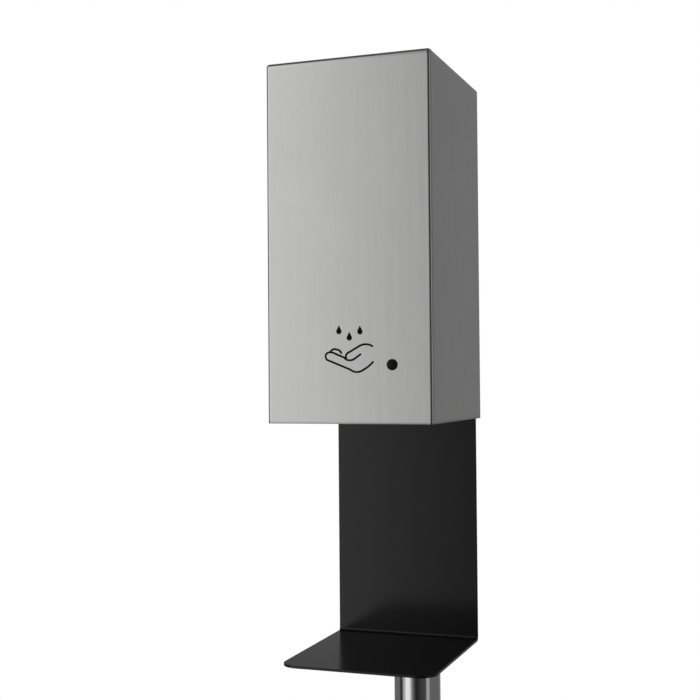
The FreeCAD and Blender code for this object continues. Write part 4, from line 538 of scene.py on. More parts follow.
TURNS = {
    (0, 1): (0.0, math.pi / 2, 0.0), (0, -1): (0.0, -math.pi / 2, 0.0),
    (1, 1): (-math.pi / 2, 0.0, 0.0), (1, -1): (math.pi / 2, 0.0, 0.0),
    (2, 1): (0.0, 0.0, 0.0), (2, -1): (math.pi, 0.0, 0.0),
}


def measure_screw(shell):
    """Seat, turn and sizes of a headed screw, read from the CAD solid it stands for."""
    low, high, points = shell
    spans = high - low
    odd = {axis: sum(abs(spans[axis] - spans[other]) for other in range(3)) for axis in range(3)}
    axis = max(odd, key=odd.get)
    centre = (low + high) / 2
    across = [other for other in range(3) if other != axis]

    def radius_of(point):
        return math.hypot(*(point[other] - centre[other] for other in across))

    head_radius = max(radius_of(point) for point in points)
    rim = [point[axis] for point in points if radius_of(point) > 0.98 * head_radius]
    sign = 1 if max(rim) > high[axis] - 1e-5 else -1
    top = high[axis] if sign > 0 else low[axis]
    seat = min(rim) if sign > 0 else max(rim)
    tail = low[axis] if sign > 0 else high[axis]
    shank_radius = max(radius_of(point) for point in points if abs(point[axis] - tail) < 1e-5)
    place = centre.copy()
    place[axis] = seat
    return place, TURNS[(axis, sign)], {"Head Radius": head_radius, "Head Height": abs(top - seat),
                                        "Shank Radius": shank_radius, "Shank Length": abs(seat - tail)}


# Geometry Nodes

class Recipe:
    """A geometry node tree that makes one small part and sets it at every given point."""

    def __init__(self, name, sizes):
        self.tree = bpy.data.node_groups.new(name, "GeometryNodeTree")
        self.tree.is_modifier = True
        sockets = self.tree.interface
        sockets.new_socket(name="Places", in_out="INPUT", socket_type="NodeSocketGeometry")
        sockets.new_socket(name="Finish", in_out="INPUT", socket_type="NodeSocketMaterial")
        for label, default in sizes.items():
            kind = "NodeSocketInt" if isinstance(default, int) else "NodeSocketFloat"
            socket = sockets.new_socket(name=label, in_out="INPUT", socket_type=kind)
            socket.default_value = default
        sockets.new_socket(name="Geometry", in_out="OUTPUT", socket_type="NodeSocketGeometry")
        self.given = self.tree.nodes.new("NodeGroupInput").outputs
        place = self.tree.nodes.new("GeometryNodeInputPosition")
        self.x, self.y, self.z = parts_of(self.tree, place.outputs[0])

    def maths(self, operation, first, second=None):
        return maths(self.tree, operation, first, second)

    def clamped(self, value, low, high):
        """How far a value has gone from low to high, held between 0 and 1."""
        whole = self.maths("DIVIDE", self.maths("SUBTRACT", value, low), self.maths("SUBTRACT", high, low))
        return self.maths("MAXIMUM", self.maths("MINIMUM", whole, 1.0), 0.0)

    def moved(self, mesh, x=None, y=None, z=None):
        """Sets some of a mesh's coordinates from fields."""
        place = self.tree.nodes.new("ShaderNodeCombineXYZ")
        for socket, value, own in zip(place.inputs, (x, y, z), (self.x, self.y, self.z)):
            if value is None:
                wire(self.tree, own, socket)
            elif isinstance(value, bpy.types.NodeSocket):
                wire(self.tree, value, socket)
            else:
                socket.default_value = value
        node = add(self.tree, "GeometryNodeSetPosition", Geometry=mesh, Position=place.outputs[0])
        return node.outputs[0]

    def cylinder(self, corners, segments, radius, low, high):
        """An upright cylinder or prism between two heights."""
        depth = self.maths("SUBTRACT", high, low)
        node = add(self.tree, "GeometryNodeMeshCylinder", Vertices=corners, Radius=radius, Depth=depth)
        if isinstance(segments, bpy.types.NodeSocket):
            wire(self.tree, segments, node.inputs["Side Segments"])
        else:
            node.inputs["Side Segments"].default_value = segments
        middle = self.maths("MULTIPLY", self.maths("ADD", low, high), 0.5)
        return self.moved(node.outputs["Mesh"], z=self.maths("ADD", self.z, middle))

    def box(self, width, depth, height):
        """A box about the origin."""
        size = add(self.tree, "ShaderNodeCombineXYZ", X=width, Y=depth, Z=height)
        return add(self.tree, "GeometryNodeMeshCube", Size=size.outputs[0]).outputs["Mesh"]

    def swollen(self, mesh, factor):
        """Scales a mesh about its axis by a field."""
        return self.moved(mesh, x=self.maths("MULTIPLY", self.x, factor),
                          y=self.maths("MULTIPLY", self.y, factor))

    def solid(self, operation, first, second):
        node = self.tree.nodes.new("GeometryNodeMeshBoolean")
        node.operation = operation
        node.solver = "EXACT"
        if operation == "DIFFERENCE":
            wire(self.tree, first, node.inputs["Mesh 1"])
        else:
            wire(self.tree, first, node.inputs["Mesh 2"])
        wire(self.tree, second, node.inputs["Mesh 2"])
        return node.outputs["Mesh"]

    def together(self, *meshes):
        node = self.tree.nodes.new("GeometryNodeJoinGeometry")
        for mesh in meshes:
            wire(self.tree, mesh, node.inputs[0])
        return node.outputs[0]

    def close(self, mesh):
        """Sets the part at the points, each turned by its own attribute, and gives it the finish."""
        tree = self.tree
        turn = add(tree, "GeometryNodeInputNamedAttribute", data_type="FLOAT_VECTOR", Name="turn")
        rotation = tree.nodes.new("FunctionNodeEulerToRotation")
        wire(tree, turn.outputs[0], rotation.inputs[0])
        copies = add(tree, "GeometryNodeInstanceOnPoints", Points=self.given["Places"], Instance=mesh,
                     Rotation=rotation.outputs[0])
        real = add(tree, "GeometryNodeRealizeInstances", Geometry=copies.outputs[0])
        finish = add(tree, "GeometryNodeSetMaterial", Geometry=real.outputs[0],
                     Material=self.given["Finish"])
        wire(tree, finish.outputs[0], tree.nodes.new("NodeGroupOutput").inputs[0])
        return tree


def screw_recipe(name, hexagonal):
    """A domed head with a hexagon socket or a cross recess, and a threaded shank below it."""
    recipe = Recipe(name, {"Head Radius": 0.004, "Head Height": 0.002, "Shank Radius": 0.002,
                           "Shank Length": 0.01, "Dome": 0.22, "Recess": 0.5, "Pitch": 0.0007,
                           "Thread": 0.12, "Thread Rows": 60})
    given = recipe.given
    height = given["Head Height"]
    up = recipe.clamped(recipe.z, recipe.maths("MULTIPLY", height, 0.45), height)
    head = recipe.swollen(recipe.cylinder(32, 9, given["Head Radius"], 0.0, height), recipe.maths(
        "SUBTRACT", 1.0, recipe.maths("MULTIPLY", recipe.maths("MULTIPLY", up, up), given["Dome"])))
    floor = recipe.maths("MULTIPLY", height, 0.42)
    above = recipe.maths("MULTIPLY", height, 1.5)
    opening = recipe.maths("MULTIPLY", given["Head Radius"], given["Recess"])
    if hexagonal:
        head = recipe.solid("DIFFERENCE", head, recipe.cylinder(6, 1, opening, floor, above))
    else:
        for wide, narrow in ((2.0, 0.44), (0.44, 2.0)):
            arm = recipe.box(recipe.maths("MULTIPLY", opening, wide),
                             recipe.maths("MULTIPLY", opening, narrow),
                             recipe.maths("SUBTRACT", above, floor))
            middle = recipe.maths("MULTIPLY", recipe.maths("ADD", above, floor), 0.5)
            cutter = recipe.moved(arm, z=recipe.maths("ADD", recipe.z, middle))
            head = recipe.solid("DIFFERENCE", head, cutter)
    tail = recipe.maths("MULTIPLY", given["Shank Length"], -1.0)
    shank = recipe.cylinder(16, given["Thread Rows"], given["Shank Radius"], tail,
                            recipe.maths("MULTIPLY", height, 0.2))
    turned = recipe.maths("ARCTAN2", recipe.y, recipe.x)
    phase = recipe.maths("ADD", turned, recipe.maths(
        "DIVIDE", recipe.maths("MULTIPLY", recipe.z, 2.0 * math.pi), given["Pitch"]))
    wave = recipe.maths("MULTIPLY", recipe.maths("ADD", recipe.maths("COSINE", phase), 1.0), 0.5)
    depth = recipe.maths("MULTIPLY", wave, given["Thread"])
    point = recipe.clamped(recipe.z, recipe.maths("ADD", tail, given["Pitch"]), tail)
    narrowing = recipe.maths("ADD", depth, recipe.maths("MULTIPLY", point, 0.2))
    shank = recipe.swollen(shank, recipe.maths("SUBTRACT", 1.0, narrowing))
    return recipe.close(recipe.together(head, shank))


def nut_recipe():
    """A hexagon nut with both faces turned down at the corners."""
    recipe = Recipe("Hexagon nut", {"Corner Radius": 0.0046, "Height": 0.004, "Bore Radius": 0.0026,
                                    "Turned Down": 0.13})
    given = recipe.given
    height = given["Height"]
    prism = recipe.cylinder(6, 1, given["Corner Radius"], 0.0, height)
    middle = recipe.maths("MULTIPLY", height, 0.5)
    off = recipe.maths("ABSOLUTE", recipe.maths("SUBTRACT", recipe.z, middle))
    out = recipe.clamped(off, recipe.maths("MULTIPLY", height, 0.3), middle)
    stock = recipe.cylinder(48, 10, recipe.maths("MULTIPLY", given["Corner Radius"], 1.002), 0.0, height)
    factor = recipe.maths("SUBTRACT", 1.0, recipe.maths("MULTIPLY", recipe.maths("MULTIPLY", out, out),
                                                        given["Turned Down"]))
    blank = recipe.solid("INTERSECT", prism, recipe.swollen(stock, factor))
    bore = recipe.cylinder(24, 1, given["Bore Radius"], -0.001, recipe.maths("ADD", height, 0.001))
    return recipe.close(recipe.solid("DIFFERENCE", blank, bore))


def foot_recipe():
    """A rubber foot with a bevelled rim, a groove round it and a pocket for its screw."""
    recipe = Recipe("Rubber foot", {"Radius": 0.015, "Height": 0.005, "Pocket Radius": 0.006,
                                    "Pocket Depth": 0.003, "Groove": 0.03})
    given = recipe.given
    height = given["Height"]
    body = recipe.cylinder(64, 20, given["Radius"], 0.0, height)
    low = recipe.clamped(recipe.z, recipe.maths("MULTIPLY", height, 0.25), 0.0)
    across = recipe.clamped(recipe.maths("ABSOLUTE", recipe.maths(
        "SUBTRACT", recipe.z, recipe.maths("MULTIPLY", height, 0.7))),
        recipe.maths("MULTIPLY", height, 0.12), 0.0)
    worn = recipe.maths("ADD", recipe.maths("MULTIPLY", recipe.maths("MULTIPLY", low, low), 0.06),
                        recipe.maths("MULTIPLY", across, given["Groove"]))
    body = recipe.swollen(body, recipe.maths("SUBTRACT", 1.0, worn))
    pocket = recipe.cylinder(32, 1, given["Pocket Radius"], -0.001, given["Pocket Depth"])
    return recipe.close(recipe.solid("DIFFERENCE", body, pocket))


def block_recipe(name):
    """A small box that stands on its place, such as a chip resistor, a pin or a rib."""
    recipe = Recipe(name, {"Width": 0.002, "Depth": 0.00125, "Height": 0.0005})
    given = recipe.given
    box = recipe.box(given["Width"], given["Depth"], given["Height"])
    half = recipe.maths("MULTIPLY", given["Height"], 0.5)
    return recipe.close(recipe.moved(box, z=recipe.maths("ADD", recipe.z, half)))


def gusset_recipe():
    """A thin three-cornered rib that leans on a wall."""
    recipe = Recipe("Gusset", {"Reach": 0.0055, "Thickness": 0.0016, "Height": 0.017})
    given = recipe.given
    box = recipe.box(given["Reach"], given["Thickness"], given["Height"])
    raised = recipe.maths("ADD", recipe.z, recipe.maths("MULTIPLY", given["Height"], 0.5))
    out = recipe.maths("ADD", recipe.x, recipe.maths("MULTIPLY", given["Reach"], 0.5))
    standing = recipe.moved(box, x=out, z=raised)
    share_up = recipe.maths("DIVIDE", recipe.z, given["Height"])
    lean = recipe.maths("SUBTRACT", 1.0, recipe.maths("MULTIPLY", share_up, 0.85))
    return recipe.close(recipe.moved(standing, x=recipe.maths("MULTIPLY", recipe.x, lean)))


RECIPES = {}


def grow(name, recipe, places, body, slot, replaced=(), finish=None, **sizes):
    """Runs a recipe on points, keeps the result as one plain mesh, and makes it a piece."""
    mesh = bpy.data.meshes.new(name)
    mesh.from_pydata([place for place, turn in places], [], [])
    turns = mesh.attributes.new("turn", "FLOAT_VECTOR", "POINT")
    for item, (place, turn) in zip(turns.data, places):
        item.vector = turn
    holder = bpy.data.objects.new(name + "_places", mesh)
    bpy.context.scene.collection.objects.link(holder)
    modifier = holder.modifiers.new("recipe", "NODES")
    modifier.node_group = RECIPES[recipe]
    values = {label.replace("_", " "): value for label, value in sizes.items()}
    values["Finish"] = MATERIALS[finish or slot]
    for item in RECIPES[recipe].interface.items_tree:
        if item.in_out == "INPUT" and item.name in values:
            modifier[item.identifier] = values[item.name]
    graph = bpy.context.evaluated_depsgraph_get()
    finished = bpy.data.meshes.new_from_object(holder.evaluated_get(graph), depsgraph=graph)
    bpy.data.objects.remove(holder)
    bpy.data.meshes.remove(mesh)
    if "turn" in finished.attributes:
        finished.attributes.remove(finished.attributes["turn"])
    finished.name = name
    if len(finished.polygons) == 0:
        raise RuntimeError(f"{name}: the recipe made nothing")
    return keep_piece(name, finished, body, slot, replaced, finish)


# Making pieces

SHARP_ANGLE = math.radians(32.0)


def keep_piece(name, mesh, body, slot, replaced=(), finish=None):
    """Makes a mesh a piece of a body in a slot's finish."""
    mesh.materials.clear()
    mesh.materials.append(MATERIALS[finish or slot])
    mesh.shade_smooth()
    mesh.set_sharp_from_angle(angle=SHARP_ANGLE)
    piece = bpy.data.objects.new(name, mesh)
    bpy.context.scene.collection.objects.link(piece)
    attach(piece, body)
    if replaced:
        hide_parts(*replaced)
    return piece


def keep_shape(name, shape, body, slot, replaced=(), finish=None):
    """Turns a bmesh into a mesh with its faces outward, and makes it a piece."""
    bmesh.ops.remove_doubles(shape, verts=shape.verts, dist=1e-7)
    bmesh.ops.recalc_face_normals(shape, faces=shape.faces)
    mesh = bpy.data.meshes.new(name)
    shape.to_mesh(mesh)
    shape.free()
    return keep_piece(name, mesh, body, slot, replaced, finish)


def loft(shape, rings, ends=True):
    """Skins closed rings of equally many points, and fills the first and the last."""
    rows = [[shape.verts.new(point) for point in ring] for ring in rings]
    count = len(rows[0])
    for below, above in zip(rows, rows[1:]):
        for index in range(count):
            after = (index + 1) % count
            shape.faces.new((below[index], below[after], above[after], above[index]))
    if ends:
        shape.faces.new(list(reversed(rows[0])))
        shape.faces.new(rows[-1])
    return rows


def turned_rings(profile, centre, turn=(0.0, 0.0, 0.0), count=48, ripples=0, ripple=0.0):
    """Rings about an axis from (radius, height) points; ripples rib the wall."""
    frame_turn = Matrix.Rotation(turn[0], 3, "X") if turn[0] else Matrix.Rotation(turn[1], 3, "Y")
    rings = []
    for radius, height in profile:
        ring = []
        for index in range(count):
            angle = 2.0 * math.pi * index / count
            wave = ripple * (0.5 - 0.5 * math.cos(ripples * angle)) if ripples else 0.0
            reach = radius - wave
            ring.append(Vector(centre) + frame_turn @ Vector((reach * math.cos(angle),
                                                               reach * math.sin(angle), height)))
        rings.append(ring)
    return rings


def rounded_box(shape, low, high, bevel, segments=2):
    """A box with all its edges rounded."""
    result = bmesh.ops.create_cube(shape, size=1.0)
    centre = (Vector(low) + Vector(high)) / 2
    spans = Vector(high) - Vector(low)
    for point in result["verts"]:
        point.co = Vector([centre[axis] + point.co[axis] * spans[axis] for axis in range(3)])
    edges = list(dict.fromkeys(edge for point in result["verts"] for edge in point.link_edges))
    bmesh.ops.bevel(shape, geom=edges, offset=bevel, segments=segments, profile=0.5, affect="EDGES",
                    clamp_overlap=True)


def rounded_ring(x, y, height, half_x, half_y, corner, steps=8):
    """A level ring: a rectangle with round corners, or a circle where the corner is the half width."""
    ring = []
    for quarter, (side_x, side_y) in enumerate(((1, 1), (-1, 1), (-1, -1), (1, -1))):
        for step in range(steps + 1):
            angle = math.pi / 2 * (quarter + step / steps)
            ring.append(Vector((x + side_x * (half_x - corner) + corner * math.cos(angle),
                                y + side_y * (half_y - corner) + corner * math.sin(angle), height)))
    return ring


# Operators

class STAND_OT_finishes(bpy.types.Operator):
    """Build the shared effects and every finish, and give each CAD node its own"""
    bl_idname = "sanitizer_stand.finishes"
    bl_label = "Finishes"

    def execute(self, context):
        GROUPS.update({"Brushed grain": grain_group(), "Fine texture": texture_group(),
                       "Handling marks": marks_group(), "Dust": dust_group(),
                       "Painted bend shade and polish": painted_bend_shade_group()})
        MATERIALS.update(make_materials())
        for name, node in NODES.items():
            slots = [slot.material.name.split(".")[0] for slot in node.material_slots if slot.material]
            if not slots or slots[0] not in MATERIALS:
                raise RuntimeError(f"{name} has the slots {slots}, and none is a known finish")
            for slot in node.material_slots:
                slot.material = MATERIALS[slots[0]]
        NODES["post"].material_slots[0].material = MATERIALS["post_steel"]
        return {"FINISHED"}


class STAND_OT_print(bpy.types.Operator):
    """Print the hand and drops with a little ink spread, and set the domed status lens"""
    bl_idname = "sanitizer_stand.print"
    bl_label = "Print and status lens"

    def execute(self, context):
        settings = context.scene.stand_finishes
        shape = bmesh.new()
        shape.from_mesh(NODES["printed_symbol"].data)
        bmesh.ops.remove_doubles(shape, verts=shape.verts, dist=1e-6)
        shape.normal_update()
        for point in shape.verts:
            out = Vector((point.normal.x, 0.0, point.normal.z))
            if out.length > 1e-4:
                point.co += out.normalized() * settings.ink_spread
        keep_shape("inked_symbol", shape, "cover", "black_ink", ["printed_symbol"])
        low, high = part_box("indicator_lens")
        centre = ((low[0] + high[0]) / 2, high[1], (low[2] + high[2]) / 2)
        flange = (high[0] - low[0]) / 2
        depth = high[1] - low[1]
        thickness = 0.0015
        stem = flange - thickness
        radius = settings.lens_radius
        front = depth - LENS_PROUD
        profile = [(0.0006, 0.0), (flange, 0.0), (flange, thickness), (stem, thickness), (stem, front),
                   (radius, front), (radius, depth - 0.00012), (radius - 0.0002, depth - 0.00002),
                   (radius - 0.0006, depth - 0.00002), (radius - 0.0008, depth - 0.00012),
                   (radius * 0.6, depth), (0.0006, depth + 0.00004)]
        shape = bmesh.new()
        loft(shape, turned_rings(profile, centre, TURNS[(1, -1)], 64))
        keep_shape("status_lens", shape, "cover", "lens_black", ["indicator_lens"])
        return {"FINISHED"}


class STAND_OT_fasteners(bpy.types.Operator):
    """Cut the sockets and threads of every screw, and turn down the nuts"""
    bl_idname = "sanitizer_stand.fasteners"
    bl_label = "Screws and nuts"

    def execute(self, context):
        RECIPES["socket screw"] = screw_recipe("Socket screw", True)
        RECIPES["cross screw"] = screw_recipe("Cross screw", False)
        RECIPES["nut"] = nut_recipe()
        for node, recipe, body in (
                ("chassis_screws", "socket screw", "stand"), ("bracket_screws", "socket screw", "stand"),
                ("deck_screws", "cross screw", "stand"), ("shelf_screws", "cross screw", "stand"),
                ("pump_lid_screws", "cross screw", "stand"),
                ("control_board_screws", "cross screw", "stand"),
                ("small_board_screws", "cross screw", "stand"),
                ("lock_cam_screw", "cross screw", "lock")):
            self.make_screws(node, recipe, body)
        nut_places = []
        for low, high, points in shells("chassis_nuts"):
            middle = (low + high) / 2
            nut_places.append(((middle.x, low.y, middle.z), TURNS[(1, 1)]))
        corner = (high.x - low.x) / 2
        grow("hexagon_nuts", "nut", nut_places, "stand", "zinc_steel", ["chassis_nuts"],
             Corner_Radius=corner, Height=high.y - low.y, Bore_Radius=corner * 0.55)
        return {"FINISHED"}

    def make_screws(self, node, recipe, body):
        places = []
        for shell in shells(node):
            place, turn, sizes = measure_screw(shell)
            places.append((place, turn))
        pitch = 0.32 * sizes["Shank Radius"]
        values = {label.replace(" ", "_"): value for label, value in sizes.items()}
        grow("turned_" + node, recipe, places, body, "zinc_steel", [node], Pitch=pitch,
             Thread_Rows=math.ceil(sizes["Shank Length"] / pitch * 5), **values)


class STAND_OT_feet(bpy.types.Operator):
    """Mould the rubber feet and sink their screws"""
    bl_idname = "sanitizer_stand.feet"
    bl_label = "Feet"

    def execute(self, context):
        RECIPES["foot"] = foot_recipe()
        feet = []
        screws = []
        web = 0.0022
        for low, high, points in shells("rubber_feet"):
            middle = (low + high) / 2
            feet.append(((middle.x, middle.y, low.z), TURNS[(2, 1)]))
            screws.append(((middle.x, middle.y, high.z - web), TURNS[(2, -1)]))
        grow("moulded_feet", "foot", feet, "stand", "black_rubber", ["rubber_feet"],
             Radius=(high.x - low.x) / 2, Height=high.z - low.z, Pocket_Depth=high.z - low.z - web)
        grow("foot_screws", "cross screw", screws, "stand", "zinc_steel", Head_Radius=0.0042,
             Head_Height=0.0018, Shank_Radius=0.002, Shank_Length=0.0021, Thread_Rows=16)
        return {"FINISHED"}


class STAND_OT_bottle(bpy.types.Operator):
    """Blow the refill bottle with its shoulders and panels, and mould its ribbed cap"""
    bl_idname = "sanitizer_stand.bottle"
    bl_label = "Refill bottle and cap"

    def execute(self, context):
        low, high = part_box("refill_bottle")
        cap_low, cap_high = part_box("valve_cap")
        settings = context.scene.stand_finishes
        self.make_bottle(Vector(low), Vector(high), cap_high[2], settings.bottle_panel)
        self.make_cap(Vector(cap_low), Vector(cap_high))
        return {"FINISHED"}

    def make_bottle(self, low, high, cap_top, panel):
        """Rings from the neck up: a round neck opens into a rounded box with sunk panels."""
        middle = (low + high) / 2
        half = Vector(((high.x - low.x) / 2, (high.y - low.y) / 2))
        body_low = cap_top + 0.016
        neck = 0.014
        corner = 0.016
        shoulder = 0.0095
        rows = [(low.z, neck, neck, neck), (body_low - 0.0012, neck, neck, neck),
                (body_low, neck + 0.0006, neck + 0.0006, neck)]
        steps = 7
        for step in range(1, steps + 1):
            turn = math.pi / 2 * step / steps
            shrink = shoulder * (1.0 - math.sin(turn))
            height = body_low + 0.0004 + shoulder * (1.0 - math.cos(turn))
            rows.append((height, half.x - shrink, half.y - shrink, corner))
        wall_low = rows[-1][0]
        wall_high = high.z - shoulder
        for share_up, sink in ((0.03, 0.0), (0.09, 0.0), (0.12, 0.8), (0.15, 1.0), (0.30, 1.05),
                               (0.47, 1.1), (0.50, 0.35), (0.53, 0.35), (0.56, 1.1), (0.72, 1.05),
                               (0.85, 1.0), (0.88, 0.8), (0.91, 0.0), (0.97, 0.0)):
            rows.append((wall_low + (wall_high - wall_low) * share_up, half.x - panel * sink,
                         half.y - panel * sink, corner))
        for step in range(steps + 1):
            turn = math.pi / 2 * step / steps
            shrink = shoulder * (1.0 - math.cos(turn))
            rows.append((wall_high + shoulder * math.sin(turn), half.x - shrink, half.y - shrink, corner))
        rows.append((high.z, half.x - 0.016, half.y - 0.016, 0.014))
        rows.append((high.z - 0.0015, half.x - 0.020, half.y - 0.020, 0.012))
        shape = bmesh.new()
        loft(shape, [rounded_ring(middle.x, middle.y, *row) for row in rows])
        keep_shape("blown_bottle", shape, "stand", "milky_plastic", ["refill_bottle"])

    def make_cap(self, low, high):
        middle = (low + high) / 2
        seat = high.z - 0.018
        outer = high.x - middle.x
        shape = bmesh.new()
        smooth = [(0.001, low.z), (0.00195, low.z), (0.00195, seat), (outer - 0.0015, seat),
                  (outer - 0.0004, seat + 0.0008)]
        ribbed = [(outer, seat + 0.0016), (outer, high.z - 0.0035)]
        lip = [(outer - 0.0002, high.z - 0.0028), (outer - 0.0002, high.z - 0.0006),
               (outer - 0.0008, high.z), (0.0142, high.z), (0.0142, seat + 0.002), (0.001, seat + 0.002),
               (0.001, low.z)]
        rings = []
        for profile, ripple in ((smooth, 0.0), (ribbed, 0.0006), (lip, 0.0)):
            rings += turned_rings(profile, (middle.x, middle.y, 0.0), count=288, ripples=48, ripple=ripple)
        loft(shape, rings, ends=False)
        keep_shape("ribbed_cap", shape, "stand", "white_plastic", ["valve_cap"])


class STAND_OT_ribs(bpy.types.Operator):
    """Stiffen the deck's socket with gussets, and rib the battery door for the thumb"""
    bl_idname = "sanitizer_stand.ribs"
    bl_label = "Ribs and gussets"

    def execute(self, context):
        RECIPES["gusset"] = gusset_recipe()
        RECIPES["small part"] = block_recipe("Small part")
        deck_low, deck_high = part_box("bottle_deck")
        bottle_low, bottle_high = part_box("refill_bottle")
        rim_height = 0.025
        rim_wall = 0.0023
        pitch = 0.024
        plate = deck_high[2] - rim_height
        wall = bottle_high[0] + rim_wall
        middle_y = (bottle_low[1] + bottle_high[1]) / 2
        gussets = []
        for y in (middle_y - pitch, middle_y, middle_y + pitch):
            gussets.append(((wall, y, plate), (0.0, 0.0, 0.0)))
            gussets.append(((-wall, y, plate), (0.0, 0.0, math.pi)))
        grow("deck_gussets", "gusset", gussets, "stand", "grey_plastic")
        low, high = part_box("battery_door")
        ribs = []
        for index in range(6):
            ribs.append((((low[0] + high[0]) / 2, low[1] + 0.016 + index * 0.0024, high[2] - 0.0001),
                         TURNS[(2, 1)]))
        grow("door_grip", "small part", ribs, "stand", "black_plastic", Width=0.020, Depth=0.0010,
             Height=0.0007)
        low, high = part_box("battery_tray")
        ribs = []
        for index in range(4):
            ribs.append(((low[0] + 0.008 + index * 0.0055, low[1] + 0.0001, low[2] + 0.014),
                         TURNS[(1, -1)]))
        grow("tray_ribs", "small part", ribs, "stand", "black_plastic", Width=0.0012, Depth=0.020,
             Height=0.0008)
        return {"FINISHED"}


class STAND_OT_tube(bpy.types.Operator):
    """Lay the silicone tube from the cap round the pump to the nozzle"""
    bl_idname = "sanitizer_stand.tube"
    bl_label = "Dosing tube"

    def execute(self, context):
        low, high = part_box("dosing_tube")
        radius = (high[1] - low[1]) / 2
        y = (low[1] + high[1]) / 2
        pump_low, pump_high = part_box("pump_rotor")
        pump_x = (pump_low[0] + pump_high[0]) / 2
        pump_z = (pump_low[2] + pump_high[2]) / 2
        wrap = pump_x - low[0] - radius
        corner = math.tan(math.radians(22.5))
        bend = 0.010
        route = [(0.0, high[2])]
        route += [(0.0, pump_z + wrap + bend), (0.0, pump_z + wrap + bend * (1 - corner)),
                  (-bend * (1 - corner), pump_z + wrap), (-bend, pump_z + wrap)]
        route += [(pump_x, pump_z + wrap), (pump_x - wrap * corner, pump_z + wrap),
                  (pump_x - wrap, pump_z + wrap * corner), (pump_x - wrap, pump_z - wrap * corner),
                  (pump_x - wrap * corner, pump_z - wrap), (pump_x, pump_z - wrap)]
        route += [(-bend, pump_z - wrap), (-bend * (1 - corner), pump_z - wrap),
                  (0.0, pump_z - wrap - bend * (1 - corner)), (0.0, pump_z - wrap - bend), (0.0, low[2])]
        curve = bpy.data.curves.new("silicone_tube", "CURVE")
        curve.dimensions = "3D"
        spline = curve.splines.new("NURBS")
        spline.points.add(len(route) - 1)
        for point, (x, z) in zip(spline.points, route):
            point.co = (x, y, z, 1.0)
        spline.order_u = 3
        spline.use_endpoint_u = True
        spline.resolution_u = 8
        curve.bevel_depth = radius
        curve.bevel_resolution = 6
        curve.use_fill_caps = True
        holder = bpy.data.objects.new("tube_route", curve)
        context.scene.collection.objects.link(holder)
        graph = context.evaluated_depsgraph_get()
        mesh = bpy.data.meshes.new_from_object(holder.evaluated_get(graph), depsgraph=graph)
        bpy.data.objects.remove(holder)
        shape = bmesh.new()
        shape.from_mesh(mesh)
        keep_shape("silicone_tube", shape, "stand", "silicone", ["dosing_tube"])
        return {"FINISHED"}


class STAND_OT_motor(bpy.types.Operator):
    """Turn the gearbox and the motor can, and fit the end bell with its terminals"""
    bl_idname = "sanitizer_stand.motor"
    bl_label = "Gear motor"

    def execute(self, context):
        low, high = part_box("gear_motor")
        x = (low[0] + high[0]) / 2
        z = (low[2] + high[2]) / 2
        front = low[1]
        gearbox = (high[0] - low[0]) / 2
        can = 0.012
        shape = bmesh.new()
        profile = [(0.0022, 0.006), (0.0022, 0.0), (gearbox - 0.0006, 0.0), (gearbox, 0.0006),
                   (gearbox, 0.0062), (gearbox - 0.0004, 0.0066), (gearbox - 0.0004, 0.0074),
                   (gearbox, 0.0078), (gearbox, 0.0205), (gearbox - 0.0007, 0.0214)]
        rings = turned_rings(profile, (x, front, z), TURNS[(1, 1)], 64)
        rings += turned_rings([(can + 0.0008, 0.0214), (can + 0.0008, 0.022), (can, 0.022), (can, 0.0425),
                               (can - 0.0006, 0.0428), (can - 0.0006, 0.0434), (can, 0.0437),
                               (can, 0.0470), (can - 0.0014, 0.0480), (0.005, 0.0480), (0.005, 0.0472),
                               (0.0034, 0.0472)],
                              (x, front, z), TURNS[(1, 1)], 64)
        loft(shape, rings)
        keep_shape("gearbox_and_can", shape, "stand", "motor_can", ["gear_motor"])
        back = high[1]
        tab_reach = 0.0072
        shape = bmesh.new()
        for side in (-1, 1):
            tab_x = x + side * tab_reach
            rounded_box(shape, (tab_x - 0.0024, back - 0.001, z - 0.0016),
                        (tab_x + 0.0024, back + 0.0012, z + 0.0016), 0.0004)
        keep_shape("motor_insulators", shape, "stand", "black_plastic")
        shape = bmesh.new()
        for side in (-1, 1):
            tab_x = x + side * tab_reach
            rounded_box(shape, (tab_x - 0.0014, back + 0.0008, z - 0.00025),
                        (tab_x + 0.0014, back + 0.0052, z + 0.00025), 0.0001, 1)
        loft(shape, turned_rings([(0.0033, 0.0466), (0.0033, 0.0482), (0.0026, 0.0486), (0.0011, 0.0486),
                                  (0.0010, 0.0492), (0.0002, 0.0493)], (x, front, z), TURNS[(1, 1)], 24))
        keep_shape("motor_terminals", shape, "stand", "plain_steel")
        crimps = []
        ring = can - 0.0012
        for step in range(8):
            angle = math.radians(22.5 + 45.0 * step)
            place = (x + ring * math.cos(angle), back - 0.00045, z + ring * math.sin(angle))
            crimps.append((place, TURNS[(1, 1)]))
        grow("motor_crimps", "small part", crimps, "stand", "motor_can", Width=0.0022, Depth=0.0012,
             Height=0.0006)
        return {"FINISHED"}


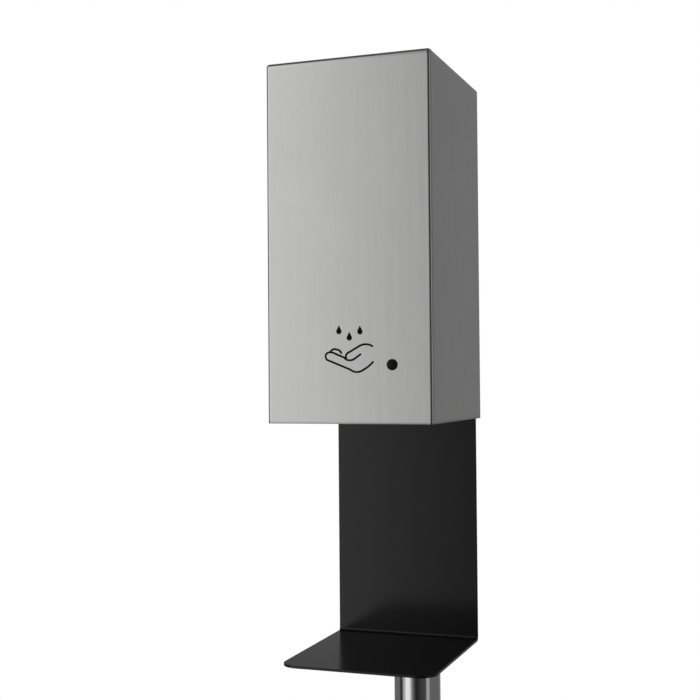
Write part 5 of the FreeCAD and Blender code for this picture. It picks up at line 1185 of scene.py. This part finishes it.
class STAND_OT_boards(bpy.types.Operator):
    """Populate the boards: processor, relay, capacitors, plugs, small parts and diodes"""
    bl_idname = "sanitizer_stand.boards"
    bl_label = "Board components"

    def execute(self, context):
        parts = shells("board_components")
        cans = [part for part in parts if len(part[2]) > 20]
        blocks = [part for part in parts if len(part[2]) <= 20]
        chip = min(blocks, key=lambda part: part[1].y - part[0].y)
        relay = max(blocks, key=lambda part: part[1].x - part[0].x)
        plugs = [part for part in blocks if part is not chip and part is not relay]
        self.make_chip(*chip[:2])
        self.make_relay(*relay[:2])
        self.make_capacitors(cans)
        self.make_plugs(plugs)
        self.make_small_parts([part[:2] for part in parts])
        self.make_diodes()
        return {"FINISHED"}

    def make_chip(self, low, high):
        shape = bmesh.new()
        inset = 0.0012
        rounded_box(shape, (low.x + inset, low.y, low.z + inset),
                    (high.x - inset, high.y - 0.0002, high.z - inset), 0.0002)
        dot = (low.x + inset + 0.0011, low.y + 0.00002, high.z - inset - 0.0011)
        loft(shape, turned_rings([(0.0004, -0.0001), (0.0004, 0.00006)], dot, TURNS[(1, -1)], 16))
        keep_shape("processor", shape, "stand", "component_black", ["board_components"])
        legs = []
        middle = (low + high) / 2
        for index in range(8):
            along = (index - 3.5) * 0.0008
            for side in (-1, 1):
                legs.append(((middle.x + along, high.y, middle.z + side * 0.0039), TURNS[(1, -1)]))
        grow("processor_legs", "small part", legs, "stand", "plain_steel", Width=0.00035, Depth=0.0011,
             Height=0.0003)

    def make_relay(self, low, high):
        shape = bmesh.new()
        rounded_box(shape, low, high, 0.0005, 3)
        loft(shape, turned_rings([(0.0009, -0.0001), (0.0009, 0.0003), (0.0006, 0.0004)],
                                 (low.x + 0.0022, low.y, high.z - 0.0022), TURNS[(1, -1)], 20))
        keep_shape("relay", shape, "stand", "component_black")

    def make_capacitors(self, cans):
        sleeve = bmesh.new()
        tops = bmesh.new()
        for low, high, points in cans:
            centre = ((low.x + high.x) / 2, high.y, (low.z + high.z) / 2)
            radius = (high.x - low.x) / 2
            length = high.y - low.y
            loft(sleeve, turned_rings([(radius - 0.0003, 0.0), (radius, 0.0004), (radius, 0.0010),
                                       (radius - 0.0004, 0.0014), (radius, 0.0018),
                                       (radius, length - 0.0005), (radius - 0.0005, length),
                                       (radius - 0.0008, length - 0.0001)],
                                      centre, TURNS[(1, -1)], 40))
            loft(tops, turned_rings([(radius - 0.0008, length - 0.0004),
                                     (radius - 0.0008, length + 0.00004), (radius - 0.0012, length)],
                                    centre, TURNS[(1, -1)], 40))
            for turn in (0.0, math.pi / 3, -math.pi / 3):
                result = bmesh.ops.create_cube(tops, size=1.0)
                spin = Matrix.Rotation(turn, 3, "Y")
                for point in result["verts"]:
                    grown = Vector((point.co.x * radius * 1.1, point.co.y * 0.0001, point.co.z * 0.00025))
                    point.co = Vector((centre[0], low.y - 0.00005, centre[2])) + spin @ grown
        keep_shape("capacitor_sleeves", sleeve, "stand", "component_black", finish="battery_wrap")
        keep_shape("capacitor_tops", tops, "stand", "plain_steel")

    def make_plugs(self, plugs):
        housing = bmesh.new()
        pins = []
        for low, high, points in plugs:
            wall = 0.0007
            base = high.y - 0.0026
            rounded_box(housing, (low.x, base, low.z), high, 0.0002)
            for near, far in (((low.x, low.z), (high.x, low.z + wall)),
                              ((low.x, high.z - wall), (high.x, high.z)),
                              ((low.x, low.z), (low.x + wall, high.z)),
                              ((high.x - wall, low.z), (high.x, high.z))):
                rounded_box(housing, (near[0], low.y + 0.001, near[1]), (far[0], base + 0.0002, far[1]),
                            0.00015, 1)
            for index in range(3):
                pins.append((((low.x + high.x) / 2 + (index - 1) * 0.0025, base, (low.z + high.z) / 2),
                             TURNS[(1, -1)]))
        keep_shape("plug_housings", housing, "stand", "white_plastic")
        grow("plug_pins", "small part", pins, "stand", "plain_steel", Width=0.0006, Depth=0.0006,
             Height=0.0042)

    def make_small_parts(self, taken):
        """Chip resistors in rows on the free parts of the control board."""
        low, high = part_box("control_board")
        bodies = []
        ends = []
        clear = 0.0017
        screw_clear = 0.0052
        screw_inset = 0.004
        column_pitch = 0.0030
        row_pitch = 0.0037
        end_reach = 0.00085
        for row in range(9):
            for column in range(14):
                x = low[0] + 0.0050 + column * column_pitch
                z = low[2] + 0.0030 + row * row_pitch
                if (row * 5 + column * 3) % 4 == 0:
                    continue
                blocked = any(near.x - clear < x < far.x + clear and near.z - clear < z < far.z + clear
                              for near, far in taken)
                at_screw = any(math.hypot(x - corner_x, z - corner_z) < screw_clear
                               for corner_x in (low[0] + screw_inset, high[0] - screw_inset)
                               for corner_z in (low[2] + screw_inset, high[2] - screw_inset))
                if blocked or at_screw:
                    continue
                bodies.append(((x, low[1], z), TURNS[(1, -1)]))
                ends += [((x + side * end_reach, low[1], z), TURNS[(1, -1)]) for side in (-1, 1)]
        sensor_low, sensor_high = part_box("sensor_board")
        for index in range(6):
            y = sensor_low[1] + 0.0095 + index * 0.0034
            place = (0.0035 if index % 2 else -0.0035, y, sensor_high[2])
            bodies.append((place, TURNS[(2, 1)]))
            ends += [((place[0] + side * end_reach, y, place[2]), TURNS[(2, 1)]) for side in (-1, 1)]
        grow("small_board_parts", "small part", bodies, "stand", "component_black", Width=0.0013,
             Depth=0.0010, Height=0.00045)
        grow("solder_ends", "small part", ends, "stand", "plain_steel", Width=0.00045, Depth=0.0011,
             Height=0.0005)

    def make_diodes(self):
        """Round the ends of the infrared pair and the status light, each with its rim."""
        for node, slot in (("infrared_pair", "lens_black"), ("status_light", "clear_resin")):
            shape = bmesh.new()
            for low, high, points in shells(node):
                spans = high - low
                radius = (spans.x if node == "infrared_pair" else spans.z) / 2
                if node == "infrared_pair":
                    base = ((low.x + high.x) / 2, (low.y + high.y) / 2, high.z)
                    turn, length = TURNS[(2, -1)], spans.z
                else:
                    base = ((low.x + high.x) / 2, high.y, (low.z + high.z) / 2)
                    turn, length = TURNS[(1, -1)], spans.y
                profile = [(radius, 0.0), (radius, 0.0008), (radius - 0.0004, 0.0009)]
                body = radius - 0.0004
                profile.append((body, length - body))
                for step in range(1, 7):
                    angle = math.pi / 2 * step / 6.6
                    profile.append((body * math.cos(angle), length - body + body * math.sin(angle)))
                loft(shape, turned_rings(profile, base, turn, 32))
            keep_shape("domed_" + node, shape, "stand", slot, [node])


# The photograph's own view point: place, and yaw, pitch and roll in degrees

CAMERA_PLACE = (0.32561, -1.07157, 1.04598)
CAMERA_TURNS = (19.97, 1.35, -0.45)
CAMERA_LENS = 61.85

# What the steel mirrors: bearing from the front towards the right in degrees, and brightness there

SURROUND_RADIUS = 3.2
SURROUND_LOW = -2.0
SURROUND_TOP = 3.0
CEILING = 0.16
SURROUNDINGS = (
    (-165, 0.27), (-140, 0.16), (-84, 0.16), (-76, 0.02), (-66, 0.02), (-46, 1.1), (-24, 1.06), (-13, 0.32),
    (0, 0.07), (14, 0.01), (34, 0.05), (60, 0.07), (63, 0.45), (77, 0.45), (80, 0.15), (145, 0.15),
    (155, 0.23), (195, 0.27),
)


class STAND_OT_stage(bpy.types.Operator):
    """Set up the floor, the lights, the white surroundings and the camera"""
    bl_idname = "sanitizer_stand.stage"
    bl_label = "Stage"

    def execute(self, context):
        settings = stage_settings()
        self.make_floor(settings)
        self.make_world(settings)
        self.make_lights(settings)
        self.make_surroundings()
        self.make_camera(context)
        context.scene.view_settings.view_transform = "Standard"
        return {"FINISHED"}

    def make_floor(self, settings):
        mesh = bpy.data.meshes.new("floor")
        shape = bmesh.new()
        bmesh.ops.create_circle(shape, cap_ends=True, segments=96, radius=settings.floor_radius)
        shape.to_mesh(mesh)
        shape.free()
        floor = bpy.data.objects.new("floor", mesh)
        bpy.context.scene.collection.objects.link(floor)
        floor.location.z = -0.0005
        material, tree, shader = new_material("Pale floor", Roughness=0.8)
        shader.inputs["Base Color"].default_value = (*settings.floor, 1.0)
        distance = tree.nodes.new("ShaderNodeVectorMath")
        distance.operation = "LENGTH"
        wire(tree, object_place(tree), distance.inputs[0])
        fade = spread(tree, distance.outputs["Value"], 0.22 * settings.floor_radius, settings.floor_radius,
                      1.0, 0.0)
        surface = tree.nodes.new("ShaderNodeNewGeometry")
        above = maths(tree, "SUBTRACT", 1.0, surface.outputs["Backfacing"])
        wire(tree, maths(tree, "MULTIPLY", fade, above), shader.inputs["Alpha"])
        mesh.materials.append(material)

    def make_world(self, settings):
        world = bpy.data.worlds.new("Studio")
        world.use_nodes = True
        tree = world.node_tree
        tree.nodes.clear()
        output = tree.nodes.new("ShaderNodeOutputWorld")
        rays = tree.nodes.new("ShaderNodeLightPath")
        even = add(tree, "ShaderNodeBackground", Color=(1.0, 1.0, 1.0, 1.0), Strength=settings.ambient)
        white = add(tree, "ShaderNodeBackground", Color=(1.0, 1.0, 1.0, 1.0), Strength=1.0)
        seen = maths(tree, "MAXIMUM", rays.outputs["Is Camera Ray"],
                     maths(tree, "MAXIMUM", rays.outputs["Is Glossy Ray"],
                           rays.outputs["Is Transmission Ray"]))
        mix = tree.nodes.new("ShaderNodeMixShader")
        wire(tree, seen, mix.inputs[0])
        wire(tree, even.outputs[0], mix.inputs[1])
        wire(tree, white.outputs[0], mix.inputs[2])
        wire(tree, mix.outputs[0], output.inputs["Surface"])
        bpy.context.scene.world = world

    def make_lights(self, settings):
        aim = Vector((0.0, -0.1, 1.0))
        for name, power, size, place in (
                ("key_light", settings.key, 1.6, (-2.1, -1.6, 1.9)),
                ("top_light", settings.top, 1.8, (0.0, -0.3, 3.2))):
            lamp = bpy.data.lights.new(name, "AREA")
            lamp.shape = "SQUARE"
            lamp.size = size
            lamp.energy = power
            light = bpy.data.objects.new(name, lamp)
            light.location = place
            light.rotation_euler = (aim - Vector(place)).to_track_quat("-Z", "Y").to_euler()
            light.visible_glossy = False
            bpy.context.scene.collection.objects.link(light)

    def make_surroundings(self):
        """A round screen and a ceiling that only reflections see: white at the left, flagged elsewhere."""
        shape = bmesh.new()
        level = shape.verts.layers.float.new("level")
        columns = []
        for bearing, brightness in SURROUNDINGS:
            angle = math.radians(bearing)
            place = (SURROUND_RADIUS * math.sin(angle), -SURROUND_RADIUS * math.cos(angle))
            columns.append([shape.verts.new((*place, height)) for height in (SURROUND_LOW, SURROUND_TOP)])
            for corner in columns[-1]:
                corner[level] = brightness
        for near, far in zip(columns, columns[1:]):
            shape.faces.new((near[0], far[0], far[1], near[1]))
        self.keep_screen("screen", shape)
        shape = bmesh.new()
        level = shape.verts.layers.float.new("level")
        bmesh.ops.create_circle(shape, cap_ends=True, segments=48, radius=SURROUND_RADIUS,
                                matrix=Matrix.Translation((0.0, 0.0, SURROUND_TOP)))
        for corner in shape.verts:
            corner[level] = CEILING
        self.keep_screen("ceiling", shape)

    def keep_screen(self, name, shape):
        """Makes a screen that glows by its level and that only glossy rays meet."""
        mesh = bpy.data.meshes.new(name)
        shape.to_mesh(mesh)
        shape.free()
        material = bpy.data.materials.new(name)
        material.use_nodes = True
        tree = material.node_tree
        tree.nodes.clear()
        output = tree.nodes.new("ShaderNodeOutputMaterial")
        level = add(tree, "ShaderNodeAttribute", attribute_name="level")
        glow = add(tree, "ShaderNodeEmission", Strength=level.outputs["Fac"])
        wire(tree, glow.outputs[0], output.inputs["Surface"])
        mesh.materials.append(material)
        screen = bpy.data.objects.new(name, mesh)
        bpy.context.scene.collection.objects.link(screen)
        for kind in ("camera", "diffuse", "transmission", "volume_scatter", "shadow"):
            setattr(screen, f"visible_{kind}", False)

    def make_camera(self, context):
        """Looks from the front right, hardly tilted."""
        yaw, pitch, roll = (math.radians(angle) for angle in CAMERA_TURNS)
        right = Vector((math.cos(yaw), math.sin(yaw), 0.0))
        ahead = Vector((-math.sin(yaw), math.cos(yaw), 0.0))
        forward = ahead * math.cos(pitch) + Vector((0.0, 0.0, math.sin(pitch)))
        upward = -ahead * math.sin(pitch) + Vector((0.0, 0.0, math.cos(pitch)))
        side = right * math.cos(roll) + upward * math.sin(roll)
        top = -right * math.sin(roll) + upward * math.cos(roll)
        view = bpy.data.cameras.new("camera")
        view.sensor_width = 36.0
        view.lens = CAMERA_LENS
        camera = bpy.data.objects.new("camera", view)
        turned = Matrix((side, top, -forward)).transposed().to_4x4()
        camera.matrix_world = Matrix.Translation(CAMERA_PLACE) @ turned
        context.scene.collection.objects.link(camera)
        context.scene.camera = camera


class STAND_PT_panel(bpy.types.Panel):
    bl_label = "Sanitizer stand"
    bl_idname = "STAND_PT_panel"
    bl_space_type = "VIEW_3D"
    bl_region_type = "UI"
    bl_category = "Sanitizer"

    def draw(self, context):
        layout = self.layout
        for operator in OPERATORS:
            layout.operator(operator.bl_idname)
        for settings in (context.scene.stand_finishes, context.scene.stand_stage):
            box = layout.box()
            for name in settings.__annotations__:
                box.prop(settings, name)


OPERATORS = (STAND_OT_finishes, STAND_OT_print, STAND_OT_fasteners, STAND_OT_feet, STAND_OT_bottle,
             STAND_OT_ribs, STAND_OT_tube, STAND_OT_motor, STAND_OT_boards, STAND_OT_stage)
CLASSES = (StandFinishes, StageSettings, *OPERATORS, STAND_PT_panel)


def register():
    for item in CLASSES:
        bpy.utils.register_class(item)
    bpy.types.Scene.stand_finishes = PointerProperty(type=StandFinishes)
    bpy.types.Scene.stand_stage = PointerProperty(type=StageSettings)


def unregister():
    del bpy.types.Scene.stand_stage
    del bpy.types.Scene.stand_finishes
    for item in reversed(CLASSES):
        bpy.utils.unregister_class(item)


def main():
    register()
    for operator in OPERATORS:
        group_name, action = operator.bl_idname.split(".")
        getattr(getattr(bpy.ops, group_name), action)()


if __name__ == "__main__":
    main()
